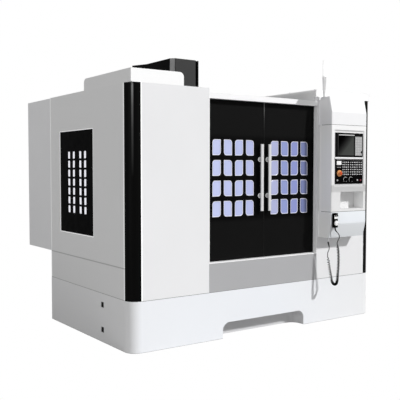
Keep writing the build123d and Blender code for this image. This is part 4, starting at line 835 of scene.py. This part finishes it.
def soft_keys():
    """The block of soft keys beside the display, with one round button."""
    soft = Piece(low_corner("screen_unit"))
    soft.block(276, 378, -0.9, 0.4, 15, 208, 0)
    for row in range(7):
        for col in range(3):
            x, z = 282 + col * 32, 24 + row * 26
            soft.block(x, x + 26, -2.4, -0.8, z, z + 18, 1 if (row + col) % 3 else 2)
    soft.turned((373, 0, 51), "y", [(0, 14), (-3.5, 14), (-5, 11)], 24, 3)
    mats = [soft_grey, soft_light, legend_grey, black_gloss]
    soft.done("soft_keys", mats, "machine", "screen_black", bevel=0.8)


def panel_divider():
    """The raised bar between screen and key panel."""
    divider = Piece(low_corner("screen_unit"))
    divider.block(-10, 394, -0.5, 12.8, -19, -3)
    divider.block(-5, 389, -1.3, -0.2, -14, -8)
    divider.done("panel_divider", [pillar_painted_light], "machine", "pillar_white", bevel=1.2)


def pillar_gaskets():
    """Dark gaskets between the three mouldings of the pillar."""
    (x0, x1), (front, _), (z0, z1) = spans("pillar_housing")
    gaskets = Piece()
    outer = rounded_outline(x0 - 0.3, x1 + 0.3, front - 0.3, front + 144, 10)
    inner = rounded_outline(x0 + 4, x1 - 4, front + 4, front + 140, 8)
    for joint in (z1 + 1, z0 - 1):
        gaskets.ring(outer, inner, level_place(joint - 1.9, joint + 1.6))
    gaskets.done("pillar_gaskets", [gasket_grey], "machine", "black_panel")


def body_seams():
    """The joint between the base and the front panels."""
    (x0, x1), _, (joint, _) = spans("front_panels")
    seams = Piece()
    seams.block(x0, x1, -0.35, 2, joint - 1.8, joint + 1.4)
    seams.done("body_seams", [seam_grey], "machine", "grey_panel")


def cover_borders():
    """Black borders on the front of the column cover: right edge, left line and foot."""
    borders = Piece(low_corner("column_top_cover"))
    borders.block(346, 356.2, -0.6, 46, 31, 527)
    borders.block(40, 47, -0.8, 2, 31, 527)
    borders.block(43, 356.2, -0.7, 2, 31, 44)
    borders.done("cover_borders", [black_rubber], "machine", "black_panel", bevel=0.5)


# Key panel: everything counts from the lower left corner of the face that carries the keys
key_left, key_front, key_bottom = low_corner("key_panel")
KEY_FACE = (key_left, key_front + 8, key_bottom)
# Blocks of keys, as (place of the first column, number of columns)
KEY_BLOCKS = ((97.0, 4), (209.0, 6))
KEY_ROWS = 6
KEY_PITCH_X, KEY_PITCH_Z = 26.0, 24.5
KEYS_FOOT, SMALL_KEYS_FOOT = 86.0, 91.0


def key_caps():
    """Caps on the keys of both blocks and on the column of small keys at the right."""
    caps = Piece(KEY_FACE)
    for first, columns in KEY_BLOCKS:
        for col in range(columns):
            for row in range(KEY_ROWS):
                x, z = first + col * KEY_PITCH_X, KEYS_FOOT + row * KEY_PITCH_Z
                caps.block(x + 2, x + 15, -2.6, -1.4, z + 5, z + 15, 0 if (col + 2 * row) % 5 else 1)
    for row in range(KEY_ROWS):
        z = SMALL_KEYS_FOOT + row * KEY_PITCH_Z
        caps.block(368, 382, -2.4, 0.2, z, z + 10, row % 2)
    caps.done("key_caps", [pale_plastic, legend_grey], "machine", "key_black", bevel=0.5)


def blank_plate():
    """The bare plate at the upper left of the keys, two small bars below it and a line above the keys."""
    plate = Piece(KEY_FACE)
    plate.block(16, 81, -3, 0.2, 191, 230, 0)
    plate.block(21, 76, -4, -2.8, 196, 225, 0)
    for k in range(2):
        plate.block(23 + 30 * k, 45 + 30 * k, -1.4, 0.2, 164, 170, 1)
    plate.block(16, 390, -1.0, 0.2, 243, 246, 1)
    plate.done("blank_plate", [wheel_pale, legend_grey], "machine", "pillar_white", bevel=0.8)


# Emergency stop
STOP_RING = [(0, 32.5), (-2, 32.5), (-8.6, 30.6), (-9.2, 28), (-9.2, 22), (-8.2, 22)]
STOP_CROWN = [(0.4, 15.4), (-0.8, 14.6), (-1.5, 11), (-1.9, 6), (-2.0, 2)]
# The band round the cap's side is a painted highlight
STOP_HIGHLIGHT_BAND = [(1.5, 19.0), (1.2, 20.6), (-6.0, 20.6), (-6.3, 19.0)]


def emergency_stop():
    """The amber ring on the panel, and a crowned cap with an amber band round its side as a painted
    highlight.
    """
    x, _, z = middle("emergency_stop")
    front = low_corner("emergency_stop")[1]
    stop_ring = Piece()
    stop_ring.turned((x, KEY_FACE[1], z), "y", STOP_RING, 40)
    stop_ring.done("stop_ring", [amber], "machine", "stop_red", smooth=True)
    stop_cap = Piece()
    stop_cap.turned((x, front - 0.1, z), "y", STOP_CROWN, 32, 0)
    stop_cap.turned((x, front + 11.5, z), "y", STOP_HIGHLIGHT_BAND, 32, 1)
    stop_cap.done("stop_cap", [red_plastic, amber], "emergency_stop", "stop_red", smooth=True)


# Dials and round buttons
BUTTON = [(0, 9.5), (-2.5, 9.5), (-2.5, 7.2), (-6.2, 7.2), (-7.4, 5.8)]
BUTTON_PLACES = (27.0, 318.0, 363.0)
BUTTON_HEIGHT = 36
MARKS = 19


def dial_marks_and_buttons():
    """Marks round both knobs, and three round buttons below the keys."""
    dials = Piece()
    face = KEY_FACE[1]
    for knob in ("feed_knob", "spindle_knob"):
        x, _, z = middle(knob)
        for k in range(MARKS):
            r0, r1, half_width = (22, 28, 1.8) if k % 3 else (21, 30, 2.4)
            mark = radial_mark(x, z, -45 + 15 * k, r0, r1, half_width)
            dials.prism(mark, front_place(face - 0.8, face + 0.2), 0)
    for mat, x in enumerate(BUTTON_PLACES):
        dials.turned((KEY_FACE[0] + x, face, KEY_FACE[2] + BUTTON_HEIGHT), "y", BUTTON, 24, mat)
    dials.done("dial_marks_and_buttons", [legend_grey, silver_paint, dark_red], "machine", "key_black")


# Pendant, from the lower left front corner of its box
WHEEL_RING = [(0, 26.4), (-1.6, 26.4), (-2.4, 25.4), (-2.4, 24.4), (-0.4, 24.4)]
WHEEL_X, WHEEL_Z = 27, 45


def pendant_face():
    """The pale upper plate, and the ring of the hand wheel with its marks."""
    face = Piece(low_corner("pendant"))
    face.prism(rounded_outline(3, 51, 89, 125, 3), front_place(8.8, 10.4), 0)
    face.turned((WHEEL_X, 10.4, WHEEL_Z), "y", WHEEL_RING, 40, 1)
    for k in range(20):
        face.prism(radial_mark(WHEEL_X, WHEEL_Z, 18 * k, 22.5, 24.3, 0.5), front_place(7.8, 8.6), 2)
    face.done("pendant_face", [wheel_pale, silver_paint, black_matt], "machine", "pendant_black", bevel=0.3)


# Roof boxes; the right one is the lower one
ROOF_SCREW = [(-0.2, 8.0), (2.4, 7.4), (4.2, 5.0), (4.2, 2.4), (2.6, 2.4)]
ROOF_SCREW_ROWS = (90.0, 460.0, 830.0)
ROOF_SCREW_INSET = 45
LEFT_BOX_INNER_SCREWS, RIGHT_BOX_INNER_SCREWS = -992.0, 716.0
RIGHT_BOX_DROP = 34


def cover_hardware():
    """Screws along both edges of both roof boxes."""
    (x0, x1), _, (_, top) = spans("top_covers")
    hardware = Piece()
    for columns, z in (((x0 + ROOF_SCREW_INSET, LEFT_BOX_INNER_SCREWS), top),
                       ((RIGHT_BOX_INNER_SCREWS, x1 - ROOF_SCREW_INSET), top - RIGHT_BOX_DROP)):
        for x in columns:
            for y in ROOF_SCREW_ROWS:
                hardware.turned((x, y, z), "z", ROOF_SCREW, 12)
    hardware.done("cover_hardware", [zinc], "machine", "machined_steel", bevel=0.4)


# Way bellows: each one stays half or one millimetre inside its CAD solid
PLEAT_PITCH = 22
PLEAT_DEPTH = 12
CLOTH = 3
sheet_low, sheet_high = spans("z_bellows")[2]
SHEET_FOOT, SHEET_TOP = sheet_low + 1, sheet_high - 1
SHEET_PLEATS = 38


def pleated_piece(stations, section):
    """A closed tube through sections that alternate between valley and ridge."""
    piece = Piece()
    piece.skin([[piece.corner(*p) for p in section(place, i % 2)] for i, place in enumerate(stations)])
    return piece


def channel_section(y, ridge):
    """A channel over the guideways, open below."""
    (_, half), _, (foot, top) = spans("front_bellows")
    fold = 1 if ridge else 1 + PLEAT_DEPTH
    w, top, foot, chamfer = half - fold, top - fold, foot + 1, 22
    outer = [(-w, y, foot), (-w, y, top - chamfer), (-w + chamfer, y, top), (w - chamfer, y, top),
             (w, y, top - chamfer), (w, y, foot)]
    inner = [(x - CLOTH if x > 0 else x + CLOTH, y, z if z == foot else z - CLOTH)
             for x, y, z in reversed(outer)]
    return outer + inner


def sheet_section(z, ridge):
    """A sheet below the head, with bevelled front edges."""
    (_, half), (front, back), _ = spans("z_bellows")
    front += 1 if ridge else 1 + PLEAT_DEPTH
    return [(1 - half, back - 1, z), (1 - half, front + 12, z), (12 - half, front, z), (half - 12, front, z),
            (half - 1, front + 12, z), (half - 1, back - 1, z)]


def evenly(first, last, count):
    return [first + (last - first) * i / count for i in range(count + 1)]


def way_bellows(name):
    """Front or rear channel, between the machine and the saddle."""
    y0, y1 = spans(name + "_bellows")[1]
    y0, y1 = y0 + 0.5, y1 - 0.5
    bellows = pleated_piece(evenly(y0, y1, 2 * round((y1 - y0) / PLEAT_PITCH)), channel_section)
    bellows = bellows.done(name + "_way_bellows", [bellows_fine_cloth], None, "bellows")
    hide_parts(name + "_bellows")
    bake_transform(bellows)


def column_bellows():
    """The pleated sheet below the head."""
    bellows = pleated_piece(evenly(SHEET_FOOT, SHEET_TOP, 2 * SHEET_PLEATS), sheet_section)
    bellows = bellows.done("column_way_bellows", [bellows_fine_cloth], "machine", "bellows")
    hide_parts("z_bellows")
    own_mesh(bellows)


# Strain reliefs: the points that lead to each end of the cord, and the reach of its sleeve in metres
RELIEFS = ((LEAD_TOP[::-1], 0.050), (LEAD_BOTTOM, 0.058))
RELIEF_SIDES = 14
RELIEF_RADIUS, RELIEF_FLARE, RELIEF_RIB = 5.0, 2.6, 0.5


def cord_reliefs():
    """Ribbed tapered sleeves along the cord's own line at both of its ends."""
    reliefs = Piece()
    angles = [2 * math.pi * k / RELIEF_SIDES for k in range(RELIEF_SIDES)]
    for route, reach in RELIEFS:
        line = smooth_line([at(*p) for p in route])
        line = [p for i, p in enumerate(line) if length_of(line[i:]) <= reach]
        rings = []
        for i, centre in enumerate(line):
            along = (line[min(i + 1, len(line) - 1)] - line[max(i - 1, 0)]).normalized()
            side = (Vector((1, 0, 0)) - along * along.x).normalized()
            other = along.cross(side)
            rib = 0.0 if i % 3 else RELIEF_RIB
            radius = (RELIEF_RADIUS + RELIEF_FLARE * i / (len(line) - 1) + rib) / 1000
            rings.append([reliefs.bm.verts.new(centre + (side * math.cos(a) + other * math.sin(a)) * radius)
                          for a in angles])
        reliefs.skin(rings)
    reliefs.done("cord_reliefs", [cord_rubber], "machine", "cord", smooth=True)


pendant_cord()
door_window_lips("left", left_pane)
door_window_lips("right", right_pane_painted_shadow)
for side, sign in SIDES:
    side_window_lips(side, sign)
    side_window_trim(side, sign)
base_slot_black_blocks()
strip_beads()
door_seal()
for side, _ in SIDES:
    handle_fittings(side)
display()
soft_keys()
panel_divider()
pillar_gaskets()
body_seams()
cover_borders()
key_caps()
blank_plate()
emergency_stop()
dial_marks_and_buttons()
pendant_face()
cover_hardware()
way_bellows("front")
way_bellows("rear")
column_bellows()
cord_reliefs()

# Surroundings: the floor, and a flag that keeps the key light off the right end of the header
FLOOR_HALF = 30
FLAG = [(422, -80, 2278), (694, -80, 2278), (694, -80, 2341), (470, -80, 2341)]


def floor_material():
    """Pale to the light, plain white to the camera."""
    mat, tree, shader = material("pale_floor")
    feed(tree, shader, {"Base Color": rgba(0.42), "Roughness": 0.95, "Specular IOR Level": 0.0})
    white = add_node(tree, "Emission").outputs["Emission"]
    seen = add_node(tree, "LightPath").outputs["Is Camera Ray"]
    look = add_node(tree, "MixShader", {0: seen, 1: shader.outputs["BSDF"], 2: white})
    feed(tree, tree.nodes["Material Output"], {"Surface": look.outputs["Shader"]})
    return mat


def flat_sheet(name, corners, mat):
    mesh = bpy.data.meshes.new(name)
    mesh.from_pydata(corners, [], [(0, 1, 2, 3)])
    mesh.materials.append(mat)
    return new_object(name, mesh)


pale_floor = floor_material()
floor = flat_sheet("floor", [(FLOOR_HALF * sx, FLOOR_HALF * sy, 0) for sx, sy in QUARTERS], pale_floor)
flag = flat_sheet("light_flag", [at(*p) for p in FLAG], pale_floor)
flag.visible_camera = flag.visible_diffuse = flag.visible_glossy = False

# Light: a white world that is dimmer to the machine than to the camera, a key and a fill
WORLD_LIGHT = 0.43
world = bpy.data.worlds.new("studio")
bpy.context.scene.world = world
world.use_nodes = True
world_tree = world.node_tree
seen = add_node(world_tree, "LightPath").outputs["Is Camera Ray"]
level = add_node(world_tree, "MapRange", {"Value": seen, "To Min": WORLD_LIGHT, "To Max": 1.0})
feed(world_tree, world_tree.nodes["Background"], {"Color": rgba(1), "Strength": level.outputs["Result"]})


def sun(name, energy, spread_angle, direction):
    """A sun that shines along a direction; its spread is in degrees."""
    data = bpy.data.lights.new(name, "SUN")
    data.energy = energy
    data.angle = math.radians(spread_angle)
    new_object(name, data).rotation_euler = Vector(direction).to_track_quat("-Z", "Y").to_euler()


sun("key", 2.68, 4.0, (-0.122, 0.20, -0.166))
sun("fill", 0.42, 20, (1.0, 0.28, -0.15))
